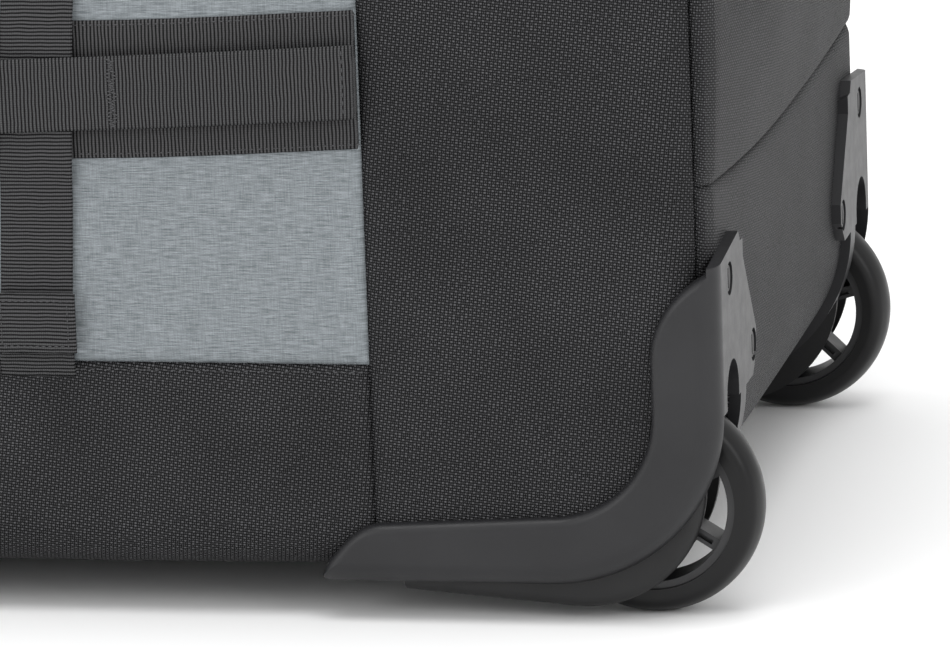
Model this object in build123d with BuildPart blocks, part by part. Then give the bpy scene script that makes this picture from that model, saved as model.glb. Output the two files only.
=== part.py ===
"""Wheeled soft travel case lying on its base: a sewn shell on moulded corner guards, two skate wheels,
a telescopic pull handle in the base, a zipped lid, webbing handles and a padded sleeve.

Frame: millimetres, +Z up, +X towards the wheels, origin on the floor under the middle of the case.
"""

import os
from math import cos, radians, sin

from build123d import *

# ---------------------------------------------------------------- driving dimensions
bag_length = 692.0  # fabric to fabric, along X
bag_width = 330.0  # fabric to fabric, along Y
bag_top = 318.0  # height of the top fabric above the floor
wall = 3.0  # fabric, foam and lining together
gap = 0.3  # space left between pieces that move apart
seam_gap = 0.05  # space between sewn neighbours of one body

wheel_d = 76.0
wheel_w = 18.0
tyre_t = 9.2  # from the tread to the moulded core
tyre_seat = 0.05  # space between the tyre and its core
rim_t = 2.5  # wall of the core under the tyre
hub_r = 13.5
hub_w = 20.0
spoke_count = 6
spoke_t = 4.2
spoke_inset = 3.0  # how far the spokes lie in from the tyre's faces
groove_w = 1.6  # groove along both faces of a spoke
groove_depth = 2.0
near_wheel_turn = -32.0  # where the first spoke points
far_wheel_turn = -44.0
bearing_od = 22.0
bearing_id = 8.0
bearing_w = 7.0
outer_race_t = 1.7
inner_race_t = 2.1
ball_d = 3.1
ball_count = 7
axle_fit = 0.03  # axle bolt in its bearings, on the radius
spacer_t = 1.8
bolt_head_r = 6.6
bolt_head_h = 3.5
bolt_key_r = 2.8  # hexagon socket in the head
bolt_key_depth = 2.2
nut_r = 7.5
nut_h = 4.5
axle_end_drop = 24.0  # from the axle to the end fabric
wheel_inset = 20.0  # from the side fabric to the middle of the wheel
slot_w = 24.0  # opening of the wheel housing
cheek_out = 6.0  # housing cheek towards the side panel
cheek_in = 3.0  # housing cheek towards the middle
fender_clear = 4.0  # from the tread to the fender arc
fender_back = 21.5  # middle of the fender arc, behind the axle
fender_rise = 8.5  # and above it
wheel_clear = 3.5  # round the wheel inside the housing
roof_clear = 10.0  # over the wheel
roof_t = 3.0
skid_l = 58.0  # straight skid in front of the fender
skid_slope = 5.0  # degrees
housing_front = 5.5  # from the tread to the front wall of the box inside the case

guard_proud = 5.0  # how far the guard's side band stands off the side fabric
guard_t = 4.0  # thickness of the guard's end and base flanges
guard_edge_r = 8.0  # rounding of the guard's outer edge
guard_lip_r = 3.4  # rounding of its edge against the fabric
guard_leg = 134.0  # length of the guard along the base
guard_rise = 110.0  # height of the guard along the end
guard_band = 24.0  # width of the band seen from the side
wheel_corner_r = 56.0  # fabric corner between base and wheel end
front_corner_r = 24.0
top_r = 48.0  # rounding of the top edges
plan_r = 14.0  # rounding of the upright edges
base_r = 12.0  # rounding of the long base edges
base_clear = 17.0  # base fabric above the floor
tab_t_in = 11.0  # inner rim of the guard beside the wheel slot
tab_in = 49.0  # how far the tab reaches inwards from the wheel
flange_l = 24.0  # flange under the base at the guard's tip
flange_w = 66.0

screw_head_r = 4.4
screw_recess = 1.3  # round the head in its counterbore
screw_head_h = 1.8
screw_sink = 0.5  # head below the face
shank_r = 1.9
shank_fit = 0.2
driver_slot = (7.0, 1.1, 0.9)  # length, width, depth

cap_length = 116.0  # dark end panel seen from the side
band_z = 88.0  # top of the dark band along the base
end_seam_z = 145.0

lid_length = 580.0
lid_width = 224.0
lid_r = 36.0
zip_w = 14.0  # both tapes and the coil between them
coil_w = 1.8
tape_t = 1.2
slider_l = 13.0
slider_t = 1.6
slider_x = 9.0  # the two sliders meet in the middle of the near side
pull_l = 32.0
pull_w = 7.0
pull_t = 1.6
mesh_inset = 30.0  # mesh pocket inside the lid's edge
mesh_t = 1.5

board_t = 2.5
board_inset = 6.0
floor_t = 5.0
floor_lift = 2.0  # lining above the handle tubes
rail_w = 28.0  # foam rails that carry the floor lining
sleeve_l = 390.0
sleeve_h = 190.0
sleeve_pocket = 26.0  # depth of the pocket
sleeve_t = 5.0
sleeve_strap_w = 28.0
sleeve_strap_l = 60.0

web_w = 25.0  # handle and side webbing
backing_w = 50.0
web_t = 1.8
strap_spread = 234.0  # between the two upright webbings
handle_z = 181.0
handle_reach = 276.0  # free part of the side handle
handle_bow = 16.0  # how far the handle stands off in the middle
anchor_extra = 2.5  # folded end of an upright webbing, wider on each side
anchor_t = 2.8
end_handle_z = 234.0
end_handle_reach = 170.0
end_handle_bow = 9.0
end_handle_w = 30.0
end_handle_t = 2.4
patch_l = 40.0
patch_lap = 4.0  # how far a patch reaches under its handle

tube_spread = 120.0
tube_outer = (20.0, 14.0)  # width, height
tube_wall = 1.2
tube_play = 0.2
tube_z = 42.0
fixed_tube_l = 470.0
tube_travel = 380.0
tube_overlap = 60.0  # what stays inside the fixed tube at full reach
grip_depth = 24.0
grip_h = 24.0
button_w, button_h, button_l = 42.0, 12.0, 11.2
button_travel = 4.0
button_proud = 1.0
pin_travel = 2.0
pin_r = 2.0
pin_l = 6.0
pin_hole_fit = 0.2
pin_from_end = 14.0  # lock pins from the end of the sliding tubes
rod_r = 1.6
rod_bar = (3.0, 5.0)  # depth and height of the bar behind the button
guide_l = 20.0
cup_fit = 1.5  # round the stowed grip
cup_t = 2.0
bezel_rim = 7.0  # bezel's flange beyond the cup, at its ends
bezel_proud = 2.5
bracket_t = 8.0
bracket_foot = 50.0

foot_l = 60.0
foot_w = 34.0
foot_rise = 26.0
stand_drop = 25.0  # stand pads below the top seam
stand_y = 137.0
stand_pad = (22.0, 40.0)  # width, height
runner_l = 420.0
runner_w = 16.0
runner_h = 9.0
runner_x = -20.0

# ---------------------------------------------------------------- derived places
half_l, half_w = bag_length / 2, bag_width / 2
axle_x = half_l - axle_end_drop
axle_z = wheel_d / 2
wheel_y = half_w - wheel_inset
cap_x = half_l - cap_length
side_y = half_w - plan_r  # where the side panels end and the end panels begin
rim_r = wheel_d / 2 - tyre_t
rim_inner_r = rim_r - rim_t
slot_out = -wheel_y - slot_w / 2  # side of the wheel slot nearer the side panel
slot_in = -wheel_y + slot_w / 2
roof_r = wheel_d / 2 + wheel_clear
roof_top = axle_z + wheel_d / 2 + roof_clear  # top of the slot inside the housing
housing_top = roof_top + roof_t
fender_x, fender_z = axle_x - fender_back, axle_z + fender_rise
fender_r = wheel_d / 2 + fender_clear
skid_x = fender_x - fender_r * sin(radians(skid_slope)) - skid_l * cos(radians(skid_slope))
corner_x = half_l - wheel_corner_r
corner_z = base_clear + wheel_corner_r
rim_z = bag_top - top_r  # lower edge of the top panel
guard_y = half_w + guard_proud
guard_r = wheel_corner_r + guard_t
guard_x = half_l + guard_t
guard_z = base_clear - guard_t
guard_tip = half_l - guard_leg
guard_top = guard_z + guard_rise
flange_x = guard_tip + 15.0
lid_y = lid_width / 2
tape_w = (zip_w - coil_w) / 2
slider_y = -lid_y - zip_w + tape_w / 2
slider_w = tape_w - 2 * gap
floor_z = tube_z + tube_outer[1] / 2 + floor_lift
sleeve_z = floor_z + floor_t + gap
board_top = base_clear + wall + board_t + 2 * seam_gap
grip_front = -axle_x - wheel_d / 2 + button_proud
grip_back = grip_front + grip_depth
tube_start = grip_back + 2.0
inner_tube = (tube_outer[0] - 2 * (tube_wall + tube_play), tube_outer[1] - 2 * (tube_wall + tube_play))
inner_tube_l = tube_travel + tube_overlap
fixed_x0 = tube_start + 16.0
inner_x1 = tube_start + inner_tube_l
pin_x = inner_x1 - pin_from_end
tube_y = tube_spread / 2
grip_w = tube_spread + tube_outer[0] + 8.0
cup_w, cup_h = grip_w + 2 * cup_fit, grip_h + 2 * cup_fit  # the cup the grip stows into
bar_x = grip_front - button_proud + button_l + seam_gap
bezel_x = -half_l - bezel_proud
stand_z = rim_z - stand_drop
screw_spots = ((-wheel_y - 1, corner_z + 42), (-wheel_y + 43, corner_z + 9))
tab_points = (
    (-guard_y, corner_z - 1),
    (-guard_y, guard_top),
    (-wheel_y + 18, guard_top + 4),
    (-wheel_y + tab_in, corner_z + 14),
    (-wheel_y + tab_in, corner_z + 7),
    (-wheel_y + tab_in - 8, corner_z - 1),
)
runner_screws_x = (runner_x - runner_l / 2 + 30, runner_x, runner_x + runner_l / 2 - 30)
far = 1000.0  # past every face of the case


def finish(part, name):
    """Labels a sub-part and writes it as one node."""
    part.label = name
    export_step(part, f"parts/{name}.step")
    return part


def block(x0, x1, y0, y1, z0, z1):
    """A plain box between two corners."""
    with BuildPart() as box:
        with Locations(((x0 + x1) / 2, (y0 + y1) / 2, (z0 + z1) / 2)):
            Box(x1 - x0, y1 - y0, z1 - z0)
    return box.part


def on_both_sides(part):
    """The part and its mirror image across the middle of the case."""
    with BuildPart() as pair:
        add(part)
        mirror(about=Plane.XZ)
    return pair.part


def cylinder_y(x, z, y0, y1, r):
    """A round bar along Y."""
    with BuildPart() as bar:
        with BuildSketch(Plane.XZ.offset(-y0)):
            with Locations((x, z)):
                Circle(r)
        extrude(amount=-(y1 - y0))
    return bar.part


# ---------------------------------------------------------------- the sewn shell
def side_outline(inset):
    """Outline of the case seen from the side, drawn in XZ and set in by inset."""
    x0, x1 = -half_l + inset, half_l - inset
    z0, z1 = base_clear + inset, bag_top - inset
    front, back, top = front_corner_r - inset, wheel_corner_r - inset, top_r - inset
    with BuildSketch(Plane.XZ) as outline:
        with BuildLine():
            Line((x0 + front, z0), (x1 - back, z0))
            RadiusArc((x1 - back, z0), (x1, z0 + back), -back)
            Line((x1, z0 + back), (x1, z1 - top))
            RadiusArc((x1, z1 - top), (x1 - top, z1), -top)
            Line((x1 - top, z1), (x0 + top, z1))
            RadiusArc((x0 + top, z1), (x0, z1 - top), -top)
            Line((x0, z1 - top), (x0, z0 + front))
            RadiusArc((x0, z0 + front), (x0 + front, z0), -front)
        make_face()
    return outline.sketch


def end_outline(inset):
    """Outline of the case seen from the end, drawn in YZ and set in by inset."""
    y1 = half_w - inset
    z0, z1 = base_clear + inset, bag_top - inset
    low, top = base_r - inset, top_r - inset
    with BuildSketch(Plane.YZ) as outline:
        with BuildLine():
            Line((-y1 + low, z0), (y1 - low, z0))
            RadiusArc((y1 - low, z0), (y1, z0 + low), -low)
            Line((y1, z0 + low), (y1, z1 - top))
            RadiusArc((y1, z1 - top), (y1 - top, z1), -top)
            Line((y1 - top, z1), (-y1 + top, z1))
            RadiusArc((-y1 + top, z1), (-y1, z1 - top), -top)
            Line((-y1, z1 - top), (-y1, z0 + low))
            RadiusArc((-y1, z0 + low), (-y1 + low, z0), -low)
        make_face()
    return outline.sketch


def bag_volume(inset):
    """The filled shape of the case, set in by inset."""
    with BuildPart() as volume:
        extrude(side_outline(inset), amount=half_w, both=True)
        extrude(end_outline(inset), amount=half_l, both=True, mode=Mode.INTERSECT)
        with BuildSketch(Plane.XY) as plan:
            RectangleRounded(bag_length - 2 * inset, bag_width - 2 * inset, plan_r - inset)
        extrude(amount=bag_top + wall, mode=Mode.INTERSECT)
    return volume.part


def bag_shell():
    """The wall of the case before it is divided into its sewn panels."""
    with BuildPart() as shell:
        add(bag_volume(0))
        add(bag_volume(wall), mode=Mode.SUBTRACT)
    return shell.part


def panel(name, source, keep, cut=()):
    """The stretch of source inside the keep boxes, less the cut shapes."""
    with BuildPart() as region:
        for box in keep:
            add(box)
    with BuildPart() as piece:
        add(source)
        add(region.part, mode=Mode.INTERSECT)
        for shape in cut:
            add(shape, mode=Mode.SUBTRACT)
    return finish(piece.part, name)


def housing_notch():
    """Room for both wheel housings in the base, the end panel and their boards."""
    y0, y1 = slot_out - cheek_out - gap, slot_in + cheek_in + gap
    with BuildPart() as notch:
        add(block(axle_x - wheel_d / 2 - housing_front - 0.5, far, y0, y1, -1, housing_top + gap))
        add(block(skid_x - 1, far, y0, y1, -1, base_clear + wall + board_t + 1))
        add(cylinder_y(axle_x, axle_z, y1 - 1, y1 + bolt_head_h + 1.5, bolt_head_r + 1))
    return on_both_sides(notch.part)


def bezel_notch():
    """Room for the cup of the handle bezel in the front end panel and its board."""
    y, z = cup_w / 2 + cup_t + gap, cup_h / 2 + cup_t + gap
    return block(-far, -half_l + wall + board_t + front_corner_r, -y, y, tube_z - z, tube_z + z)


def make_panels():
    """Every sewn panel of the shell, each as its own piece."""
    shell = bag_shell()
    notch = housing_notch()
    low = base_clear + base_r
    edge = half_l - plan_r
    inner_y = side_y - seam_gap
    panel(
        "base_panel",
        shell,
        [
            block(-far, far, -far, far, 0, low),
            block(corner_x, far, -inner_y, inner_y, 0, corner_z),
            block(-far, -half_l + front_corner_r, -inner_y, inner_y, 0, base_clear + front_corner_r),
        ],
        [notch, bezel_notch()],
    )
    band = block(-cap_x + seam_gap, cap_x - seam_gap, -far, -side_y, low + seam_gap, band_z - seam_gap)
    panel("side_bands", shell, [on_both_sides(band)])
    grey = block(-cap_x + seam_gap, cap_x - seam_gap, -far, -side_y, band_z + seam_gap, rim_z - seam_gap)
    panel("side_panels", shell, [on_both_sides(grey)])
    cap = on_both_sides(block(cap_x + seam_gap, far, -far, -side_y, low + seam_gap, rim_z - seam_gap))
    panel("wheel_end_side_panels", shell, [cap], [notch])
    panel("front_end_side_panels", shell, [mirror(cap, about=Plane.YZ)])
    lower = block(edge, far, -inner_y, inner_y, corner_z + seam_gap, end_seam_z - seam_gap)
    panel("wheel_end_lower_panel", shell, [lower], [notch])
    upper = block(edge, far, -inner_y, inner_y, end_seam_z + seam_gap, rim_z - seam_gap)
    panel("wheel_end_upper_panel", shell, [upper])
    front_low = base_clear + front_corner_r + seam_gap
    front = block(-far, -edge, -inner_y, inner_y, front_low, rim_z - seam_gap)
    panel("front_end_panel", shell, [front], [bezel_notch()])
    with BuildPart() as opening:
        with BuildSketch(Plane.XY.offset(rim_z)):
            add(lid_outline(zip_w, gap))
        extrude(amount=far)
    panel("top_panel", shell, [block(-far, far, -far, far, rim_z + seam_gap, far)], [opening.part])


# ---------------------------------------------------------------- lid and zip
def lid_outline(grow, hinge_grow=0.0):
    """Plan of the lid: round corners towards the zip, square ones at the hinge, grown on three sides."""
    depth = lid_width + grow + hinge_grow
    middle = (hinge_grow - grow) / 2
    with BuildSketch() as outline:
        with Locations((0, middle)):
            RectangleRounded(lid_length + 2 * grow, depth, lid_r + grow)
        with Locations((0, middle + depth / 4)):
            Rectangle(lid_length + 2 * grow, depth / 2)
    return outline.sketch


def make_lid():
    """The padded lid and the mesh pocket under it."""
    with BuildPart() as lid:
        with BuildSketch(Plane.XY.offset(bag_top - wall)):
            add(lid_outline(0))
        extrude(amount=wall)
    finish(lid.part, "lid_panel")
    with BuildPart() as pocket:
        with BuildSketch(Plane.XY.offset(bag_top - wall - seam_gap - mesh_t)):
            RectangleRounded(lid_length - 2 * mesh_inset, lid_width - 2 * mesh_inset + 10, lid_r - 12)
        extrude(amount=mesh_t)
    finish(pocket.part, "lid_mesh_pocket")


def tape(outer, inner, name):
    """One side of the zip: a flat tape round three sides of the lid, open towards the hinge."""
    with BuildPart() as strip:
        with BuildSketch(Plane.XY.offset(bag_top - tape_t)):
            add(lid_outline(outer))
            add(lid_outline(inner), mode=Mode.SUBTRACT)
        extrude(amount=tape_t)
        add(block(-far, far, lid_y - 1, far, 0, far), mode=Mode.SUBTRACT)
    return finish(strip.part, name)


def make_slider(name, side):
    """A zip slider round the edge of the body's tape, with the arch that carries its pull."""
    x, z0 = side * slider_x, bag_top + gap
    web_y = slider_y + tape_w / 2 + gap
    with BuildPart() as slider:
        with BuildSketch(Plane.XY.offset(z0)):
            with Locations((x, slider_y)):
                RectangleRounded(slider_l, slider_w, 1.6)
        extrude(amount=slider_t)
        with BuildSketch(Plane.XZ.offset(-slider_y)):
            with Locations((x, z0 + slider_t)):
                Rectangle(8.0, 4.2, align=(Align.CENTER, Align.MIN))
                Rectangle(5.0, 2.6, align=(Align.CENTER, Align.MIN), mode=Mode.SUBTRACT)
        extrude(amount=1.0, both=True)
        chamfer(slider.faces().sort_by(Axis.Z)[-1].edges(), 0.6)
        low = bag_top - tape_t - gap - 1.0
        add(block(x - 5, x + 5, slider_y - slider_w / 2, web_y + 1.2, low, low + 1.0))
        add(block(x - 4, x + 4, web_y, web_y + 1.2, low, z0 + slider_t))
        add(block(x - 4, x + 4, slider_y, web_y + 1.2, z0, z0 + slider_t))
    return finish(slider.part, name)


def make_pull(name, side):
    """A moulded zip pull whose cross bar lies in the slider's arch."""
    z0 = bag_top + gap + slider_t + 0.35
    eye_x = side * (slider_x + 1.2)
    end_x = side * (slider_x + pull_l)
    with BuildPart() as pull:
        with BuildSketch(Plane.XY.offset(z0)):
            with Locations(((eye_x + side * 4.6), slider_y)):
                Rectangle(12.0, pull_w)
                Rectangle(9.2, pull_w - 3.6, mode=Mode.SUBTRACT)
            with Locations(((eye_x + end_x) / 2 + side * 5.0, slider_y)):
                SlotOverall(abs(end_x - eye_x) - 9, pull_w)
        extrude(amount=pull_t)
    return finish(pull.part, name)


# ---------------------------------------------------------------- boards, floor and sleeve
def make_boards():
    """Stiffening sheets inside the base and behind both ends."""
    z0 = base_clear + wall + seam_gap
    with BuildPart() as base:
        with BuildSketch(Plane.XY.offset(z0)):
            with Locations(((corner_x - half_l + front_corner_r) / 2, 0)):
                RectangleRounded(corner_x + half_l - front_corner_r, 2 * (side_y - board_inset), 10)
        extrude(amount=board_t)
        add(housing_notch(), mode=Mode.SUBTRACT)
    finish(base.part, "base_board")
    x0 = half_l - wall - seam_gap - board_t
    with BuildPart() as ends:
        y, top = side_y - board_inset, rim_z - board_inset
        add(block(x0, x0 + board_t, -y, y, corner_z + board_inset, top))
        add(block(-x0 - board_t, -x0, -y, y, base_clear + front_corner_r + 4, top))
        add(housing_notch(), mode=Mode.SUBTRACT)
        add(bezel_notch(), mode=Mode.SUBTRACT)
    finish(ends.part, "end_boards")


def make_floor():
    """The padded lining floor that covers the handle tubes, carried on two foam rails."""
    inner_y = half_w - wall - 1.0
    x0 = fixed_x0 + 3.0
    x1 = axle_x - wheel_d / 2 - 12
    with BuildPart() as floor:
        with BuildSketch(Plane.XY.offset(floor_z)):
            with Locations(((x0 + x1) / 2, 0)):
                RectangleRounded(x1 - x0, 2 * inner_y, 12)
        extrude(amount=floor_t)
        for side in (-1, 1):
            y = side * (inner_y - 34)
            add(block(x0 + 20, x1 - 60, y - rail_w / 2, y + rail_w / 2, board_top, floor_z))
    finish(floor.part, "floor_lining")


def make_sleeve():
    """A padded pocket for a portable computer, sewn to the far wall, with its sewn-on strap."""
    back = half_w - wall - seam_gap
    front = back - sleeve_pocket - sleeve_t
    with BuildPart() as sleeve:
        with Locations((0, (back + front) / 2, sleeve_z + sleeve_h / 2)):
            Box(sleeve_l, back - front, sleeve_h)
        with Locations((0, (back + front + sleeve_t) / 2, sleeve_z + sleeve_h / 2 + sleeve_t)):
            Box(sleeve_l - 2 * sleeve_t, back - front - sleeve_t, sleeve_h, mode=Mode.SUBTRACT)
        x, z1 = sleeve_strap_w / 2, sleeve_z + sleeve_h
        add(block(-x, x, front - web_t, back, z1, z1 + web_t))
        add(block(-x, x, front - web_t, front, z1 - sleeve_strap_l, z1 + web_t))
    finish(sleeve.part, "laptop_sleeve")


# ---------------------------------------------------------------- corner guards and wheel housings
def guard_outline():
    """The guard's band seen from the side: a leg along the base, a wide corner and a leg up the end."""
    inner_r = guard_r - guard_band
    tip, top = guard_tip, guard_z + guard_rise
    slope = guard_band * 0.85
    with BuildSketch(Plane.XZ) as outline:
        with BuildLine():
            Line((tip + 6, guard_z), (corner_x, guard_z))
            RadiusArc((corner_x, guard_z), (guard_x, corner_z), -guard_r)
            Line((guard_x, corner_z), (guard_x, top))
            Spline(
                (guard_x, top),
                (guard_x - guard_band + 6.5, top - 13),
                (guard_x - guard_band + 1, top - 24),
                (guard_x - guard_band, top - 34),
                tangents=((-1, -0.45), (0, -1)),
            )
            Line((guard_x - guard_band, top - 34), (guard_x - guard_band, corner_z))
            RadiusArc((guard_x - guard_band, corner_z), (corner_x, guard_z + guard_band), inner_r)
            Line((corner_x, guard_z + guard_band), (tip + slope, guard_z + guard_band * 0.87))
            Spline(
                (tip + slope, guard_z + guard_band * 0.87),
                (tip + 5, guard_z + guard_band * 0.46),
                (tip, guard_z + 3),
                tangents=((-1, -0.1), (-0.3, -1)),
            )
            RadiusArc((tip, guard_z + 3), (tip + 6, guard_z), -5)
        make_face()
    return outline.sketch


def guard_envelope():
    """Everything the guard may fill: the case's corner grown outwards, its long edges rounded."""
    top = guard_top + 6
    with BuildPart() as envelope:
        with BuildSketch(Plane.XZ) as outline:
            with BuildLine():
                Line((guard_tip, guard_z), (corner_x, guard_z))
                RadiusArc((corner_x, guard_z), (guard_x, corner_z), -guard_r)
                Line((guard_x, corner_z), (guard_x, top))
                Line((guard_x, top), (guard_tip, top))
                Line((guard_tip, top), (guard_tip, guard_z))
            make_face()
        extrude(amount=guard_y)
        face = envelope.faces().sort_by(Axis.Y)[0]
        edges = face.edges().filter_by(lambda e: e.center().Z < corner_z or e.center().X > guard_x - 1)
        edges = edges.filter_by(lambda e: e.center().X > guard_tip + 1)
        fillet(edges, guard_edge_r)
    return envelope.part


def guard_tab():
    """The flat tab on the end of the case, with the arched wheel slot."""
    arch = axle_z + wheel_d / 2 - 1
    with BuildPart() as tab:
        with BuildSketch(Plane.YZ.offset(half_l + seam_gap)) as face:
            with BuildLine():
                Polyline(*tab_points, close=True)
            make_face()
            free = face.vertices().filter_by(lambda v: v.Z > corner_z + 1 and v.Y > -guard_y + 1)
            fillet(free, 6)
            with Locations((-wheel_y, arch)):
                Circle(slot_w / 2, mode=Mode.SUBTRACT)
                Rectangle(slot_w, 60, align=(Align.CENTER, Align.MAX), mode=Mode.SUBTRACT)
        extrude(amount=guard_t)
    return tab.part


def is_lip(middle):
    """True for the middle of an edge of the band that lies against the side fabric."""
    along_base = guard_z + 6 < middle.Z < corner_z and middle.X < guard_x - 8
    return along_base or middle.X < guard_x - guard_band + 3 and middle.Z > guard_z + 6


def screw_hole():
    """A counterbored hole for a guard screw, at the place the block gives."""
    recess, depth = screw_head_r + screw_recess, screw_head_h + screw_sink
    return CounterBoreHole(shank_r + shank_fit, recess, depth, depth=guard_t + 1)


def make_guard():
    """Near corner guard: side band, rounded rim, inner rim and the tab screwed to the end of the case."""
    envelope, outline, tab = guard_envelope(), guard_outline(), guard_tab()
    with BuildPart() as guard:
        extrude(outline, amount=guard_y)
        lip = guard.faces().sort_by(Axis.Y)[0].edges().filter_by(lambda e: is_lip(e.center()))
        fillet(lip, guard_lip_r)
        y0, y1 = slot_out - cheek_out - gap, slot_in + cheek_in + gap
        add(block(-far, far, y0, y1, -far, far), mode=Mode.SUBTRACT)
        add(block(-far, far, y1 + tab_t_in, far, -far, far), mode=Mode.SUBTRACT)
        head = cylinder_y(axle_x, axle_z, y1, y1 + bolt_head_h + gap, bolt_head_r + gap)
        add(head, mode=Mode.SUBTRACT)
        add(tab)
        x0 = guard_tip + 3
        add(block(x0, x0 + flange_l, -guard_y, -guard_y + flange_w, guard_z, base_clear))
        add(envelope, mode=Mode.INTERSECT)
        add(bag_volume(-seam_gap), mode=Mode.SUBTRACT)
        for y, z in screw_spots:
            with Locations(Plane(origin=(guard_x, y, z), z_dir=(1, 0, 0))):
                screw_hole()
        with Locations(Plane(origin=(flange_x, -guard_y + flange_w - 12, guard_z), z_dir=(0, 0, -1))):
            screw_hole()
    return guard.part


def housing_outline():
    """One cheek of the wheel housing: a fender arc below, a straight skid forwards, a box inside the case."""
    slope = radians(skid_slope)
    low = (fender_x - fender_r * sin(slope), fender_z - fender_r * cos(slope))
    tip = (skid_x, low[1] + skid_l * sin(slope))
    turn, mid = radians(28), radians(-35)
    middle = (fender_x + fender_r * cos(mid), fender_z + fender_r * sin(mid))
    high = (fender_x + fender_r * cos(turn), fender_z + fender_r * sin(turn))
    front = axle_x - wheel_d / 2 - housing_front
    with BuildSketch(Plane.XZ) as outline:
        with BuildLine():
            Line(tip, low)
            ThreePointArc(low, middle, high)
            Line(high, (high[0], housing_top))
            Line((high[0], housing_top), (front, housing_top))
            Line((front, housing_top), (front, base_clear + 6))
            Line((front, base_clear + 6), (tip[0], base_clear + 1))
            Line((tip[0], base_clear + 1), tip)
        make_face()
    return outline.sketch


def housing_hollow():
    """The space the wheel turns in, open below and towards the end of the case."""
    with BuildPart() as hollow:
        with BuildSketch(Plane.XZ.offset(-slot_out)):
            with Locations((axle_x, axle_z)):
                Circle(roof_r)
                Rectangle(60, roof_top - axle_z, align=(Align.MIN, Align.MIN))
            with Locations((axle_x - roof_r * 0.72, -40)):
                Rectangle(200, 40 + axle_z - roof_r * 0.69, align=(Align.MIN, Align.MIN))
        extrude(amount=-slot_w)
    return hollow.part


def make_housing():
    """Near wheel housing: two cheeks, the roof over the wheel and the seats for the axle."""
    outer, inner = slot_out - cheek_out, slot_in + cheek_in
    with BuildPart() as housing:
        with BuildSketch(Plane.XZ.offset(-outer)):
            add(housing_outline())
        extrude(amount=outer - inner)
        outline_edges = housing.faces().sort_by(Axis.Y)[0].edges()
        fillet(outline_edges.filter_by(lambda e: e.center().Z < 26 and e.center().X > fender_x - 40), 4.0)
        add(housing_hollow(), mode=Mode.SUBTRACT)
        add(cylinder_y(axle_x, axle_z, outer - 1, inner + 1, bearing_id / 2), mode=Mode.SUBTRACT)
        with BuildSketch(Plane.XZ.offset(-outer)):
            with Locations((axle_x, axle_z)):
                RegularPolygon(nut_r + 0.1, 6)
        extrude(amount=-nut_h, mode=Mode.SUBTRACT)
    return housing.part


def make_guards():
    """Both corner guards and both wheel housings."""
    guard, housing = make_guard(), make_housing()
    finish(guard, "corner_guard_near")
    finish(mirror(guard, about=Plane.XZ), "corner_guard_far")
    finish(housing, "wheel_housing_near")
    finish(mirror(housing, about=Plane.XZ), "wheel_housing_far")


# ---------------------------------------------------------------- wheels
def tyre_profile():
    """Half section of the tyre, drawn in YX about the wheel's middle plane."""
    r, w, seat = wheel_d / 2, wheel_w / 2, rim_r + tyre_seat
    with BuildSketch(Plane.YZ) as section:
        with BuildLine():
            Line((-w, seat), (w, seat))
            Line((w, seat), (w, r - 6))
            Spline((w, r - 6), (w * 0.62, r - 1.3), (0, r), tangents=((0, 1), (-1, 0)))
            Spline((0, r), (-w * 0.62, r - 1.3), (-w, r - 6), tangents=((-1, 0), (0, -1)))
            Line((-w, r - 6), (-w, seat))
        make_face()
    return section.sketch


def spokes(start, stop, width, turn):
    """Radial bars drawn in the wheel's middle plane."""
    with PolarLocations(0, spoke_count, start_angle=turn):
        with Locations((start, 0)):
            Rectangle(stop - start, width, align=(Align.MIN, Align.CENTER))


def wheel_core(turn):
    """Moulded core: rim, hub, grooved spokes and a seat for two bearings."""
    seat, spoke_half = bearing_od / 2, wheel_w / 2 - spoke_inset
    with BuildPart() as core:
        with BuildSketch(Plane.XZ):
            Circle(rim_r)
            Circle(rim_inner_r, mode=Mode.SUBTRACT)
        extrude(amount=wheel_w / 2 - 1, both=True)
        with BuildSketch(Plane.XZ):
            Circle(hub_r)
        extrude(amount=hub_w / 2, both=True)
        with BuildSketch(Plane.XZ):
            spokes(hub_r - 1, rim_inner_r + 1, spoke_t, turn)
        extrude(amount=spoke_half, both=True)
        for face_side in (-1, 1):
            with BuildSketch(Plane.XZ.offset(face_side * spoke_half)):
                spokes(hub_r + 2, rim_inner_r - 2, groove_w, turn)
            extrude(amount=-face_side * groove_depth, mode=Mode.SUBTRACT)
        with BuildSketch(Plane.XZ):
            Circle(seat + tyre_seat / 2)
        extrude(amount=hub_w, both=True, mode=Mode.SUBTRACT)
    return core.part


def outer_races():
    """The outer races of a wheel's two bearings."""
    with BuildPart() as races:
        for face_side in (-1, 1):
            with BuildSketch(Plane.XZ.offset(face_side * (hub_w / 2 - bearing_w))):
                Circle(bearing_od / 2)
                Circle(bearing_od / 2 - outer_race_t, mode=Mode.SUBTRACT)
            extrude(amount=face_side * bearing_w)
    return races.part


def make_wheel(name, side, turn):
    """Tyre, spoked core and the outer races that turn with them."""
    place = Location((axle_x, side * wheel_y, axle_z))
    with BuildPart() as tyre:
        add(tyre_profile())
        revolve(axis=Axis.Y)
    finish(tyre.part.moved(place), f"tyre_{name}")
    finish(wheel_core(turn).moved(place), f"wheel_core_{name}")
    finish(outer_races().moved(place), f"bearing_outer_races_{name}")


def ring_y(start, length, r):
    """A sleeve round the near axle, from start towards the side panel."""
    with BuildPart() as sleeve:
        with BuildSketch(Plane.XZ.offset(start)):
            with Locations((axle_x, axle_z)):
                Circle(r)
                Circle(bearing_id / 2, mode=Mode.SUBTRACT)
        extrude(amount=length)
    return sleeve.part


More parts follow.
